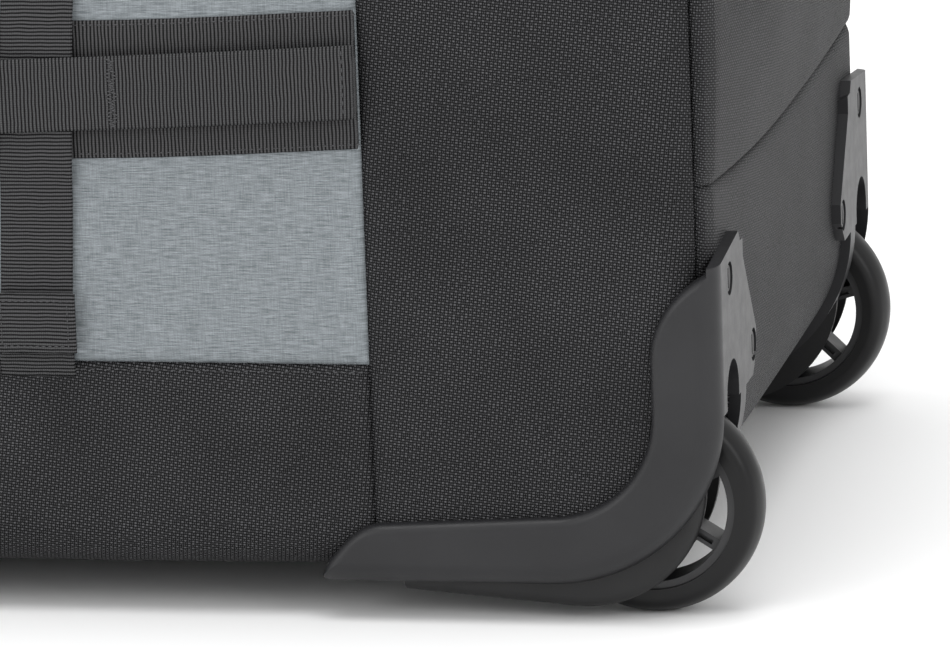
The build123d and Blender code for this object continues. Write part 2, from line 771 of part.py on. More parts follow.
def make_bearings():
    """Inner races and balls, which stay with the axle."""
    race_r = bearing_id / 2 + inner_race_t
    with BuildPart() as inner:
        for face_side in (-1, 1):
            start = wheel_y + face_side * (hub_w / 2 - bearing_w)
            add(ring_y(start, face_side * bearing_w, race_r))
    finish(on_both_sides(inner.part), "bearing_inner_races")
    with BuildPart() as balls:
        for face_side in (-1, 1):
            y = -wheel_y + face_side * (hub_w / 2 - bearing_w / 2)
            with Locations(Plane(origin=(axle_x, y, axle_z), z_dir=(0, 1, 0))):
                with PolarLocations((bearing_od / 2 - outer_race_t + race_r) / 2, ball_count):
                    Sphere(ball_d / 2)
    finish(on_both_sides(balls.part), "bearing_balls")


def make_axles():
    """Spacers, bolts and nuts of both axles."""
    between = hub_w / 2 - bearing_w
    reach = slot_w / 2 - hub_w / 2
    with BuildPart() as spacers:
        for start, length in (
            (wheel_y - between, 2 * between),
            (wheel_y + hub_w / 2, reach),
            (wheel_y - hub_w / 2 - reach, reach),
        ):
            add(ring_y(start, length, bearing_id / 2 + spacer_t))
    finish(on_both_sides(spacers.part), "axle_spacers")
    head_y = slot_in + cheek_in
    tip_y = slot_out - cheek_out
    with BuildPart() as bolt:
        add(cylinder_y(axle_x, axle_z, tip_y, head_y, bearing_id / 2 - axle_fit))
        add(cylinder_y(axle_x, axle_z, head_y, head_y + bolt_head_h, bolt_head_r))
        with BuildSketch(Plane.XZ.offset(-head_y - bolt_head_h)):
            with Locations((axle_x, axle_z)):
                RegularPolygon(bolt_key_r, 6)
        extrude(amount=bolt_key_depth, mode=Mode.SUBTRACT)
    finish(on_both_sides(bolt.part), "axle_bolts")
    with BuildPart() as nut:
        with BuildSketch(Plane.XZ.offset(-tip_y)):
            with Locations((axle_x, axle_z)):
                RegularPolygon(nut_r, 6)
                Circle(bearing_id / 2, mode=Mode.SUBTRACT)
        extrude(amount=-nut_h)
    finish(on_both_sides(nut.part), "axle_nuts")


# ---------------------------------------------------------------- feet, runners and screws
def foot_outline():
    """A front foot seen from the side: along the base, round the corner and a little way up the end."""
    x0, x1 = -half_l - guard_t, -half_l + front_corner_r
    z0, z1 = guard_z, base_clear + front_corner_r
    tip, shoulder = x1 + foot_l, (x0 + guard_band * 0.9, z1 + 8)
    with BuildSketch(Plane.XZ) as outline:
        with BuildLine():
            Line((tip, z0), (x1, z0))
            RadiusArc((x1, z0), (x0, z1), front_corner_r + guard_t)
            Line((x0, z1), (x0, z1 + foot_rise))
            Line((x0, z1 + foot_rise), shoulder)
            Line(shoulder, (x1 + 6, z0 + guard_band))
            Line((x1 + 6, z0 + guard_band), (tip - 14, z0 + guard_band * 0.87))
            Line((tip - 14, z0 + guard_band * 0.87), (tip, z0))
        make_face()
    return outline.sketch


def make_feet():
    """Front corner feet that carry the other end of the case, and two pads to stand it upright on."""
    middle = -half_l + front_corner_r + foot_l / 2 - 8
    with BuildPart() as foot:
        extrude(foot_outline(), amount=guard_y)
        add(block(-far, far, -half_w + foot_w, far, -far, far), mode=Mode.SUBTRACT)
        add(bag_volume(-seam_gap), mode=Mode.SUBTRACT)
        with BuildSketch(Plane.XY):
            with Locations((middle, -half_w + foot_w / 2)):
                RectangleRounded(foot_l - 18, foot_w - 8, 6)
        extrude(amount=guard_z)
    finish(on_both_sides(foot.part), "front_feet")
    with BuildPart() as pad:
        with BuildSketch(Plane.YZ.offset(half_l + seam_gap)):
            with Locations((-stand_y, stand_z)):
                RectangleRounded(*stand_pad, 8)
        extrude(amount=axle_x + wheel_d / 2 - half_l - seam_gap, taper=12)
    finish(on_both_sides(pad.part), "stand_pads")


def make_runners():
    """Moulded skid strips under the base."""
    with BuildPart() as runner:
        with BuildSketch(Plane.XY.offset(base_clear - seam_gap)):
            with Locations((runner_x, -tube_y)):
                SlotOverall(runner_l, runner_w)
        extrude(amount=-runner_h + seam_gap, taper=14)
        for x in runner_screws_x:
            with Locations(Plane(origin=(x, -tube_y, base_clear - runner_h), z_dir=(0, 0, -1))):
                CounterBoreHole(shank_r + shank_fit, screw_head_r + 0.4, screw_head_h + 1, depth=runner_h)
    finish(on_both_sides(runner.part), "base_runners")


def screw(origin, direction, length):
    """A pan-head screw whose head sits at origin and whose shank runs against direction."""
    slot_l, slot_t, slot_depth = driver_slot
    with BuildPart() as part:
        with BuildSketch(Plane(origin=origin, z_dir=direction)):
            Circle(screw_head_r)
        extrude(amount=screw_head_h)
        with BuildSketch(Plane(origin=origin, z_dir=direction)):
            Circle(shank_r)
        extrude(amount=-length)
        with BuildSketch(Plane(origin=origin, z_dir=direction).offset(screw_head_h)):
            Rectangle(slot_l, slot_t)
        extrude(amount=-slot_depth, mode=Mode.SUBTRACT)
    return part.part


def make_screws():
    """Screws through the guard tabs into the end board, and through the guards and runners into the base."""
    sunk = screw_head_h + screw_sink
    length = guard_t - sunk - seam_gap
    with BuildPart() as screws:
        for y, z in screw_spots:
            add(screw((guard_x - sunk, y, z), (1, 0, 0), length))
        add(screw((flange_x, -guard_y + flange_w - 12, guard_z + sunk), (0, 0, -1), length))
    finish(on_both_sides(screws.part), "guard_screws")
    with BuildPart() as short:
        z = base_clear - runner_h + screw_head_h + 1
        for x in runner_screws_x:
            add(screw((x, -tube_y, z), (0, 0, -1), base_clear - z - 2 * seam_gap))
    finish(on_both_sides(short.part), "runner_screws")


# ---------------------------------------------------------------- pull handle in the base
def tube(size, wall_t, x0, x1, y):
    """A rectangular tube along X."""
    with BuildPart() as part:
        with BuildSketch(Plane.YZ.offset(x0)):
            with Locations((y, tube_z)):
                RectangleRounded(*size, 2.5)
                RectangleRounded(size[0] - 2 * wall_t, size[1] - 2 * wall_t, 1.3, mode=Mode.SUBTRACT)
        extrude(amount=x1 - x0)
    return part.part


def make_tubes():
    """The two fixed tubes in the base and the two that slide in them."""
    fixed = tube(tube_outer, tube_wall, fixed_x0, fixed_x0 + fixed_tube_l, -tube_y)
    finish(on_both_sides(fixed), "fixed_tubes")
    with BuildPart() as sliding:
        add(tube(inner_tube, tube_wall, tube_start, inner_x1, -tube_y))
        with Locations(Plane(origin=(pin_x, -tube_y - inner_tube[0] / 2, tube_z), z_dir=(0, -1, 0))):
            Hole(pin_r + pin_hole_fit, depth=tube_wall + 0.5)
    finish(on_both_sides(sliding.part), "sliding_tubes")


def rounded_end(x, y, size, r):
    """A rounded rectangle facing along X, centred on the tubes' height."""
    with BuildSketch(Plane.YZ.offset(x)) as face:
        with Locations((y, tube_z)):
            RectangleRounded(*size, r)
    return face.sketch


def make_bezel():
    """Moulded cup in the front end that takes the grip, and holds the fixed tubes."""
    flange = (cup_w + 2 * (cup_t + bezel_rim), cup_h + 2 * (cup_t + bezel_rim - 2))
    sleeve = (inner_tube[0] + 2 * gap, inner_tube[1] + 2 * gap)
    with BuildPart() as bezel:
        extrude(rounded_end(bezel_x, 0, flange, 9), amount=12)
        add(bag_volume(-seam_gap), mode=Mode.SUBTRACT)
        cup = rounded_end(bezel_x, 0, (cup_w + 2 * cup_t, cup_h + 2 * cup_t), 6)
        extrude(cup, amount=fixed_x0 - seam_gap - bezel_x)
        hollow = rounded_end(bezel_x, 0, (cup_w, cup_h), 5)
        extrude(hollow, amount=grip_back + 8.0 - bezel_x, mode=Mode.SUBTRACT)
        for side in (-1, 1):
            bore = rounded_end(bezel_x, side * tube_y, sleeve, 2.5)
            extrude(bore, amount=100, mode=Mode.SUBTRACT)
    finish(bezel.part, "handle_bezel")


def make_bracket():
    """Clamp that ties the far ends of the fixed tubes to the base board."""
    x, top = fixed_x0 + fixed_tube_l + seam_gap, tube_z + tube_outer[1] / 2
    half = tube_y + tube_outer[0] / 2
    with BuildPart() as bracket:
        add(block(x, x + bracket_t, -half - 6, half + 6, board_top, top))
        low = tube_z - tube_outer[1] / 2 - seam_gap
        foot = block(x - bracket_foot, x + 4, -half, -half + tube_outer[0], board_top, low)
        add(on_both_sides(foot))
    finish(bracket.part, "tube_end_bracket")


def make_grip():
    """The moulded grip with its spigots for the tubes, and the release button in its front."""
    mouth = (inner_tube[0] - 2 * tube_wall - 2, inner_tube[1] - 2 * tube_wall - 2)
    with BuildPart() as grip:
        with BuildSketch(Plane.XY.offset(tube_z)):
            with Locations(((grip_front + grip_back) / 2, 0)):
                RectangleRounded(grip_depth, grip_w, 9)
        extrude(amount=grip_h / 2, both=True)
        fillet(grip.faces().filter_by(Axis.Z).edges(), 6)
        for side in (-1, 1):
            spigot = rounded_end(grip_back - 1, side * tube_y, inner_tube, 2.5)
            extrude(spigot, amount=tube_start - grip_back + 1 - seam_gap)
            with BuildSketch(Plane.YZ.offset(grip_back - 12)):
                with Locations((side * tube_y, tube_z)):
                    Rectangle(*mouth)
            extrude(amount=40, mode=Mode.SUBTRACT)
        well = rounded_end(grip_front, 0, (button_w + 2 * gap, button_h + 2 * gap), 4)
        extrude(well, amount=button_l - button_proud + button_travel + 0.5, mode=Mode.SUBTRACT)
        with Locations((bar_x + (rod_bar[0] + button_travel) / 2, 0, tube_z)):
            Box(rod_bar[0] + button_travel + 0.8, tube_spread + 6, rod_bar[1] + 2, mode=Mode.SUBTRACT)
    finish(grip.part, "handle_grip")
    with BuildPart() as button:
        extrude(rounded_end(grip_front - button_proud, 0, (button_w, button_h), 3.8), amount=button_l)
        fillet(button.faces().sort_by(Axis.X)[0].edges(), 1.0)
    finish(button.part, "release_button")


def cylinder_x(x0, x1, y, r):
    """A round bar along X at the tubes' height."""
    with BuildPart() as bar:
        with BuildSketch(Plane.YZ.offset(x0)):
            with Locations((y, tube_z)):
                Circle(r)
        extrude(amount=x1 - x0)
    return bar.part


def make_lock():
    """Push rods behind the button, the lock pins they draw in, and the guides inside the sliding tubes."""
    with BuildPart() as rods:
        with Locations((bar_x + rod_bar[0] / 2, 0, tube_z)):
            Box(rod_bar[0], tube_spread + 2.0, rod_bar[1])
        add(on_both_sides(cylinder_x(bar_x + 1, pin_x - 8, -tube_y, rod_r)))
    finish(rods.part, "push_rods")
    skin = tube_y + inner_tube[0] / 2
    pin = cylinder_y(pin_x, tube_z, -skin, -skin + pin_l, pin_r)
    finish(pin, "lock_pin_near")
    finish(mirror(pin, about=Plane.XZ), "lock_pin_far")
    bore = 2 * (tube_wall + seam_gap)
    with BuildPart() as guide:
        body = rounded_end(pin_x - guide_l / 2, -tube_y, (inner_tube[0] - bore, inner_tube[1] - bore), 1.3)
        extrude(body, amount=guide_l)
        pin_room = -skin + pin_l + pin_travel + 1.5
        add(cylinder_y(pin_x, tube_z, -skin, pin_room, pin_r + gap), mode=Mode.SUBTRACT)
        start = pin_x - guide_l / 2 - 1
        add(cylinder_x(start, start + 6.0 + button_travel, -tube_y, rod_r + gap), mode=Mode.SUBTRACT)
    finish(on_both_sides(guide.part), "pin_guides")


def make_handle():
    """Every piece of the pull handle."""
    make_tubes()
    make_bezel()
    make_bracket()
    make_grip()
    make_lock()


# ---------------------------------------------------------------- webbing
def make_webbing():
    """Backing webbing, upright webbing with its anchors, and the sewn ends of the side handles."""
    face = -half_w - seam_gap
    first = face - web_t
    second = first - seam_gap - web_t
    with BuildPart() as backing:
        add(block(-cap_x + 1, cap_x - 1, first, face, handle_z - backing_w / 2, handle_z + backing_w / 2))
    finish(on_both_sides(backing.part), "backing_webbing")
    with BuildPart() as upright:
        for side in (-1, 1):
            x = side * strap_spread / 2
            add(block(x - web_w / 2, x + web_w / 2, second, first - seam_gap, band_z + 2, rim_z - 2))
    finish(on_both_sides(upright.part), "upright_webbing")
    with BuildPart() as anchors:
        for side in (-1, 1):
            x, half = side * strap_spread / 2, web_w / 2 + anchor_extra
            y = second - seam_gap
            add(block(x - half, x + half, y - anchor_t, y, band_z + 4, band_z + 27))
            add(block(x - half, x + half, first - seam_gap - web_t, face, band_z - 6, band_z + 1.9))
    finish(on_both_sides(anchors.part), "webbing_anchors")
    with BuildPart() as ends:
        for side in (-1, 1):
            x0, x1 = sorted((side * (handle_reach / 2 + gap), side * (cap_x - 1)))
            add(block(x0, x1, second, first - seam_gap, handle_z - web_w / 2, handle_z + web_w / 2))
    finish(on_both_sides(ends.part), "side_handle_ends")


def bowed_strap(reach, bow, back, thick):
    """Plan of a webbing that stands off in the middle, drawn in XY with its ends lying at y = -back."""
    half = reach / 2
    with BuildSketch(Plane.XY) as plan:
        with BuildLine():
            Spline(
                (-half, -back),
                (-half * 0.55, -back - bow * 0.82),
                (0, -back - bow),
                (half * 0.55, -back - bow * 0.82),
                (half, -back),
                tangents=((1, -0.12), (1, 0.12)),
            )
            Line((half, -back), (half, -back - thick))
            Spline(
                (half, -back - thick),
                (half * 0.55, -back - bow * 0.82 - thick),
                (0, -back - bow - thick),
                (-half * 0.55, -back - bow * 0.82 - thick),
                (-half, -back - thick),
                tangents=((-1, -0.12), (-1, 0.12)),
            )
            Line((-half, -back - thick), (-half, -back))
        make_face()
    return plan.sketch


def make_side_handles():
    """The free middle of each side handle, swinging about its upper edge."""
    back = half_w + 2 * (seam_gap + web_t) + gap
    with BuildPart() as handle:
        with BuildSketch(Plane.XY.offset(handle_z - web_w / 2)):
            add(bowed_strap(handle_reach, handle_bow, back, web_t))
        extrude(amount=web_w)
    finish(handle.part, "side_handle_near")
    finish(mirror(handle.part, about=Plane.XZ), "side_handle_far")


def make_end_handles():
    """Webbing grab handles on both ends, with their sewn-down patches."""
    back = half_l + web_t + 2 * seam_gap + gap
    for name, turn in (("wheel_end", 90), ("front", -90)):
        with BuildPart() as handle:
            with BuildSketch(Plane.XY.offset(end_handle_z - end_handle_w / 2)):
                add(bowed_strap(end_handle_reach, end_handle_bow, back, end_handle_t).rotate(Axis.Z, turn))
            extrude(amount=end_handle_w)
        finish(handle.part, f"end_handle_{name}")
    with BuildPart() as patches:
        x = half_l + seam_gap
        for side in (-1, 1):
            inner = end_handle_reach / 2 - patch_lap
            y0, y1 = sorted((side * inner, side * (inner + patch_l)))
            z0, z1 = end_handle_z - end_handle_w / 2 - 2, end_handle_z + end_handle_w / 2 + 2
            add(block(x, x + web_t, y0, y1, z0, z1))
            add(block(-x - web_t, -x, y0, y1, z0, z1))
    finish(patches.part, "end_handle_patches")


def main():
    """Builds and writes every node."""
    os.makedirs("parts", exist_ok=True)
    make_panels()
    make_lid()
    tape(zip_w - seam_gap, tape_w + coil_w, "zip_tape_body")
    tape(tape_w, seam_gap, "zip_tape_lid")
    for name, side in (("left", -1), ("right", 1)):
        make_slider(f"zip_slider_{name}", side)
        make_pull(f"zip_pull_{name}", side)
    make_boards()
    make_floor()
    make_sleeve()
    make_guards()
    make_wheel("near", -1, near_wheel_turn)
    make_wheel("far", 1, far_wheel_turn)
    make_bearings()
    make_axles()
    make_feet()
    make_runners()
    make_screws()
    make_handle()
    make_webbing()
    make_side_handles()
    make_end_handles()


main()
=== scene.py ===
"""Looks of a wheeled soft travel case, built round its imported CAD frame.

Metres, +Z up, +X towards the wheels, -Y the near side.
"""

from math import cos, pi, radians, sin, sqrt

import bmesh
import bpy
from mathutils import Matrix, Vector


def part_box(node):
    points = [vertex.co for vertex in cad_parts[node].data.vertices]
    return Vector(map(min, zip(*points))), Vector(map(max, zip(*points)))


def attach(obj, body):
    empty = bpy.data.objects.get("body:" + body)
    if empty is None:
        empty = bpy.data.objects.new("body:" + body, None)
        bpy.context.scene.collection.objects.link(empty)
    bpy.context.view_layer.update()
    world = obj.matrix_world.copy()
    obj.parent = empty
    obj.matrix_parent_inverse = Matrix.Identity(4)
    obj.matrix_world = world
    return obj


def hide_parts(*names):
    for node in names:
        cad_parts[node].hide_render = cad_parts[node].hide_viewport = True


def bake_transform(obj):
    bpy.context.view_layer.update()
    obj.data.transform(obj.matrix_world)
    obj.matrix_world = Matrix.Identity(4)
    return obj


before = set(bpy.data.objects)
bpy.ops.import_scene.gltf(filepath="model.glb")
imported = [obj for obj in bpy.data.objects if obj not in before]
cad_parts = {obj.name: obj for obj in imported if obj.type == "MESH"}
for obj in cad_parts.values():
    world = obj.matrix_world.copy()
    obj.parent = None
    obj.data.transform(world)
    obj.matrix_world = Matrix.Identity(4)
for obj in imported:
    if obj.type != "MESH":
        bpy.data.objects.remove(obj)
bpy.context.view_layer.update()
MM = 0.001

# ---- camera
# A long lens some two and a half metres off looks down a little on the case's wheeled corner,
# from the wheel side, and leans by two degrees.
azimuth, elevation, lean = radians(11.76), radians(13.16), 0.035
wheel_low, wheel_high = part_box("tyre_near")
wheel_centre = (wheel_low + wheel_high) / 2
aim = wheel_centre + Vector((-59.5, 0, 56.1)) * MM
forward = Vector((-sin(azimuth) * cos(elevation), cos(azimuth) * cos(elevation), -sin(elevation)))
level = Vector((cos(azimuth), sin(azimuth), 0))
upright = level.cross(forward)
right = level * cos(lean) - upright * sin(lean)
up = level * sin(lean) + upright * cos(lean)
lens = bpy.data.cameras.new("camera")
lens.sensor_width = 36
lens.lens = 288.87
lens.clip_end = 50
camera = bpy.data.objects.new("camera", lens)
camera_distance = 2.5625
camera_turn = Matrix((right, up, -forward)).transposed().to_4x4()
camera.matrix_world = Matrix.Translation(aim - forward * camera_distance) @ camera_turn
bpy.context.scene.collection.objects.link(camera)
bpy.context.scene.camera = camera


# ---- floor and light
# A white paper sweep under three soft boxes, one overhead and one to each side of the camera, in a
# white room that fills the shadows.
def linear(code, alpha=1.0):
    """A colour written as sRGB hex, turned to the linear values that shaders take."""
    parts = [int(code[i : i + 2], 16) / 255 for i in (1, 3, 5)]
    return [c / 12.92 if c <= 0.04045 else ((c + 0.055) / 1.055) ** 2.4 for c in parts] + [alpha]


def add(tree, kind, inputs=None, stops=(), **settings):
    """Adds a node with its settings, its inputs' values or links, and a colour ramp's two stops."""
    made = tree.nodes.new(kind)
    for key, value in settings.items():
        setattr(made, key, value)
    for i, (position, code) in enumerate(stops):
        made.color_ramp.elements[i].position = position
        made.color_ramp.elements[i].color = linear(code)
    for key, value in (inputs or {}).items():
        if isinstance(value, bpy.types.Node):
            value = value.outputs[0]
        if isinstance(value, bpy.types.NodeSocket):
            tree.links.new(value, made.inputs[key])
        else:
            made.inputs[key].default_value = value
    return made


def new_material(name, **shader):
    """A material with one Principled shader, whose constant inputs are given by name."""
    material = bpy.data.materials.new(name)
    material.use_nodes = True
    tree = material.node_tree
    bsdf = tree.nodes["Principled BSDF"]
    for key, value in shader.items():
        bsdf.inputs[key.replace("_", " ")].default_value = value
    return material, tree, bsdf


def onto_shader(tree, bsdf, **nodes):
    """Links nodes to the shader's inputs, which are given by name."""
    for key, node in nodes.items():
        tree.links.new(node.outputs[0], bsdf.inputs[key.replace("_", " ")])


paper, tree, bsdf = new_material("matt_paper", Base_Color=linear("#F4F4F4"), Roughness=0.9)
grain = add(tree, "ShaderNodeTexNoise", {"Scale": 40.0})
tooth = add(tree, "ShaderNodeBump", {"Height": grain, "Strength": 0.05})
onto_shader(tree, bsdf, Normal=tooth)
bm = bmesh.new()
bmesh.ops.create_grid(bm, x_segments=1, y_segments=1, size=30)
sweep_mesh = bpy.data.meshes.new("floor")
bm.to_mesh(sweep_mesh)
bm.free()
sweep_mesh.materials.append(paper)
sweep = bpy.data.objects.new("floor", sweep_mesh)
bpy.context.scene.collection.objects.link(sweep)

bpy.context.scene.view_settings.view_transform = "Standard"
world = bpy.data.worlds.new("studio")
bpy.context.scene.world = world
world.use_nodes = True
world.node_tree.nodes["Background"].inputs["Color"].default_value = linear("#FFFFFF")
world.node_tree.nodes["Background"].inputs["Strength"].default_value = 0.9


def softbox(name, place, target, size, power):
    """A square area light aimed at a point."""
    data = bpy.data.lights.new(name, "AREA")
    data.shape = "SQUARE"
    data.size = size
    data.energy = power
    lamp = bpy.data.objects.new(name, data)
    lamp.location = place
    lamp.rotation_euler = (Vector(target) - Vector(place)).to_track_quat("-Z", "Y").to_euler()
    bpy.context.scene.collection.objects.link(lamp)


softbox("overhead", (0.3, -0.3, 2.2), (0.2, 0, 0.1), 1.8, 34)
softbox("right_of_camera", (2.4, -1.6, 1.3), (0.3, 0, 0.15), 1.4, 13)
softbox("left_of_camera", (-1.6, -2.2, 1.2), (0.1, -0.1, 0.15), 1.4, 14)


# ---- outer cloth: how it is cut and shaped
# The case is sewn from flat cuts of cloth over foam. Each cut is a grid whose points lie on the box
# round the case; rounding brings them onto its soft edges, and the cloth swells between its seams.
case_low, case_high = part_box("base_panel")
half_l, half_w = case_high.x, case_high.y
base_z = case_low.z
top_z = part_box("top_panel")[1].z
rim_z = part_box("top_panel")[0].z
band_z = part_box("side_panels")[0].z
cap_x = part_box("side_panels")[1].x
wheel_end_r, front_r = 56 * MM, 24 * MM  # the case's lower corners, seen from the side
top_r, plan_r, hem_r = 48 * MM, 14 * MM, 12 * MM  # its top, upright and long lower edges
panel_t = 2.4 * MM  # cloth, foam and lining together


def rounded(a, b, limit_a, limit_b, r):
    """Brings a point beyond a rounded corner, whose two faces are the limits, onto its arc."""
    da, db = a - (limit_a - r), b - (limit_b - r)
    if da > 0 and db > 0:
        far = sqrt(da * da + db * db)
        if far > r:
            return limit_a - r + da * r / far, limit_b - r + db * r / far
    return a, b


def onto_case(x, y, z):
    """The place on the case's rounded outside for a point on the box round it."""
    sx, sy = (1 if x > 0 else -1), (1 if y > 0 else -1)
    ax, ay = abs(x), abs(y)
    mid = (base_z + top_z) / 2
    ax, ay = rounded(ax, ay, half_l, half_w, plan_r)
    if z > mid:
        ax, z = rounded(ax, z, half_l, top_z, top_r)
        ay, z = rounded(ay, z, half_w, top_z, top_r)
    else:
        low_r = wheel_end_r if sx > 0 else front_r
        ax, down = rounded(ax, -z, half_l, -base_z, low_r)
        ay, down = rounded(ay, down, half_w, -base_z, hem_r)
        z = -down
    return Vector((sx * ax, sy * ay, z))


def steps(*stops, coarse=8 * MM, fine=1.6 * MM):
    """Grid lines from the first stop to the last, close together beside each stop for crisp seams."""
    lines = []
    for a, b in zip(stops, stops[1:]):
        span = b - a
        size = abs(span)
        near = [d for d in (0, fine, 2.2 * fine, 4 * fine) if d < size / 2]
        count = max(1, round((size - 2 * near[-1]) / coarse))
        inner = [near[-1] + (size - 2 * near[-1]) * i / count for i in range(1, count)]
        marks = near + inner + [size - d for d in reversed(near)]
        lines += [a + span * m / size for m in marks[:-1]]
    return lines + [stops[-1]]


def wave(a, b, seed):
    """A smooth, uneven ripple between -1 and 1."""
    total = sin(a * 1.0 + seed) * cos(b * 1.3 + seed * 1.7) + 0.6 * sin(a * 2.1 - b * 1.7 + seed * 2.3)
    return (total + 0.4 * cos(a * 3.7 + b * 4.3 + seed * 3.1)) / 2


heart = Vector((0, 0, 150 * MM))  # a point inside the case, which every cut of its shell faces away from


def cut(bm, us, vs, place, relief=None, outward=None):
    """Adds a grid of cloth: place gives a point from its UV, and relief how far it stands out."""
    grid = bmesh.new()
    nu, nv = len(us) - 1, len(vs) - 1
    bmesh.ops.create_grid(grid, x_segments=nu, y_segments=nv, size=0.5)
    uv = grid.loops.layers.uv.new("cloth")
    at = {}
    for v in grid.verts:
        i, j = round((v.co.x + 0.5) * nu), round((v.co.y + 0.5) * nv)
        at[v] = (us[i], vs[j])
        v.co = place(us[i], vs[j])
    for face in grid.faces:
        for loop in face.loops:
            loop[uv].uv = at[loop.vert]
    grid.normal_update()
    away = outward or (lambda p: p - heart)
    if sum(f.normal.dot(away(f.calc_center_median())) * f.calc_area() for f in grid.faces) < 0:
        bmesh.ops.reverse_faces(grid, faces=grid.faces)
        grid.normal_update()
    if relief:
        for v in grid.verts:
            v.co += v.normal * relief(*at[v])
    part = bpy.data.meshes.new("cut")
    grid.to_mesh(part)
    grid.free()
    bm.from_mesh(part)
    bpy.data.meshes.remove(part)


def new_bmesh():
    """An empty bmesh with the UV map that every cloth reads."""
    bm = bmesh.new()
    bm.loops.layers.uv.new("cloth")
    return bm


def make_piece(name, bm, material, body, replaces=(), thick=0, merge=True, inside=None):
    """Turns a bmesh into a finished piece that rides on a body, if one is given.

    Thick gives the cloth a thickness, inwards, and inside is the material of its inner face.
    """
    if merge:
        bmesh.ops.remove_doubles(bm, verts=bm.verts, dist=0.02 * MM)
    mesh = bpy.data.meshes.new(name)
    bm.to_mesh(mesh)
    bm.free()
    for polygon in mesh.polygons:
        polygon.use_smooth = True
    mesh.materials.append(material)
    piece = bpy.data.objects.new(name, mesh)
    bpy.context.scene.collection.objects.link(piece)
    if thick:
        wall = piece.modifiers.new("thickness", "SOLIDIFY")
        wall.thickness = thick
        wall.offset = -1
        if inside:
            mesh.materials.append(inside)
            wall.material_offset = 1
    if replaces:
        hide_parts(*replaces)
    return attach(piece, body) if body else piece


def pinch(d, depth=1.3 * MM, reach=4 * MM):
    """How far cloth is drawn in at a distance from its seam."""
    return -depth * (1 - min(d / reach, 1)) ** 2


def edge_pinch(u, v, us, vs, depth=1.3 * MM, reach=4 * MM):
    """The draw of the seams on all four sides of a cut."""
    return pinch(min(abs(u - us[0]), abs(u - us[-1]), abs(v - vs[0]), abs(v - vs[-1])), depth, reach)


def swell(u, v, us, vs):
    """Zero at a cut's edges and one in its middle."""
    a = (u - us[0]) / (us[-1] - us[0])
    b = (v - vs[0]) / (vs[-1] - vs[0])
    return (sin(pi * a) * sin(pi * b)) ** 0.6 if 0 < a < 1 and 0 < b < 1 else 0.0


# ---- ballistic nylon
# Coarse filament nylon in a two-by-two basket weave, dyed black. Its crowns catch the light and the gaps
# between threads stay dark. Both are painted into its colour, as painted highlight on the crowns and
# painted shade in the gaps, so it looks like dark grey grain.
def thread_waves(tree, pitch):
    """The cloth's own UV map, in metres, and the height of a basket weave of the given pitch on it."""
    place = add(tree, "ShaderNodeUVMap", uv_map="cloth")
    wander = add(tree, "ShaderNodeTexNoise", {"Vector": place, "Scale": 90.0, "Detail": 1.0})
    centred = {0: wander.outputs["Color"], 1: (0.5, 0.5, 0.5)}
    shift = add(tree, "ShaderNodeVectorMath", centred, operation="SUBTRACT")
    small = add(tree, "ShaderNodeVectorMath", {0: shift, "Scale": 0.35 * pitch}, operation="SCALE")
    moved = add(tree, "ShaderNodeVectorMath", {0: place, 1: small}, operation="ADD")
    off_grain = {"Vector": moved, "Angle": radians(7)}
    turned = add(tree, "ShaderNodeVectorRotate", off_grain, rotation_type="Z_AXIS")
    per_thread = {0: turned, 1: (1 / (1.35 * pitch), 1 / (0.92 * pitch), 1)}
    cells = add(tree, "ShaderNodeVectorMath", per_thread, operation="MULTIPLY")
    axes = add(tree, "ShaderNodeSeparateXYZ", {0: cells})
    halves = [{0: axes.outputs[i], 1: pi} for i in (0, 1)]
    turns = [add(tree, "ShaderNodeMath", half, operation="MULTIPLY") for half in halves]
    turns.append(add(tree, "ShaderNodeMath", {0: turns[0], 1: 2.0}, operation="MULTIPLY"))
    sines = [add(tree, "ShaderNodeMath", {0: turn}, operation="SINE") for turn in turns]
    warp, weft, pair = [add(tree, "ShaderNodeMath", {0: sine}, operation="ABSOLUTE") for sine in sines]
    over = add(tree, "ShaderNodeMath", {0: warp, 1: weft}, operation="MULTIPLY")
    paired = add(tree, "ShaderNodeMath", {0: pair, 1: weft}, operation="MULTIPLY")
    under = add(tree, "ShaderNodeMath", {0: paired, 1: 0.62}, operation="MULTIPLY")
    checks = {"Vector": cells, "Scale": 1.0, "Color1": (0, 0, 0, 1), "Color2": (1, 1, 1, 1)}
    swap = add(tree, "ShaderNodeTexChecker", checks).outputs["Fac"]
    height = add(tree, "ShaderNodeMix", {"Factor": swap, 2: over, 3: under}, data_type="FLOAT")
    return place, height


def woven(name, pitch, dark, light, roughness, relief, patch):
    """A woven cloth: painted shade in its gaps, painted highlight on its crowns, faint patches of wear,
    and thread relief.
    """
    material, tree, bsdf = new_material(name, Roughness=roughness, IOR=1.53, Specular_IOR_Level=0.1)
    place, height = thread_waves(tree, pitch)
    cloud = add(tree, "ShaderNodeTexNoise", {"Vector": place, "Scale": 22.0, "Detail": 5.0})
    wear = {"Value": cloud, "From Min": 0.3, "From Max": 0.7}
    wear.update({"To Min": 1 - patch, "To Max": 1 + patch})
    worn = add(tree, "ShaderNodeMapRange", wear)
    # painted light: by the weave's height, the colour runs from painted shade in the gaps to painted
    # highlight on the crowns
    tint = add(tree, "ShaderNodeValToRGB", {0: height}, stops=((0.16, dark), (0.85, light)))
    shade = add(tree, "ShaderNodeVectorMath", {0: tint, "Scale": worn}, operation="SCALE")
    bump = add(tree, "ShaderNodeBump", {"Height": height, "Strength": 0.7, "Distance": relief})
    onto_shader(tree, bsdf, Base_Color=shade, Normal=bump)
    return material


# 070708 is the painted shade in the gaps and #555557 the painted highlight on the crowns
nylon = woven("ballistic_nylon", 1.0 * MM, "#070708", "#555557", 0.55, 0.5 * MM, 0.16)
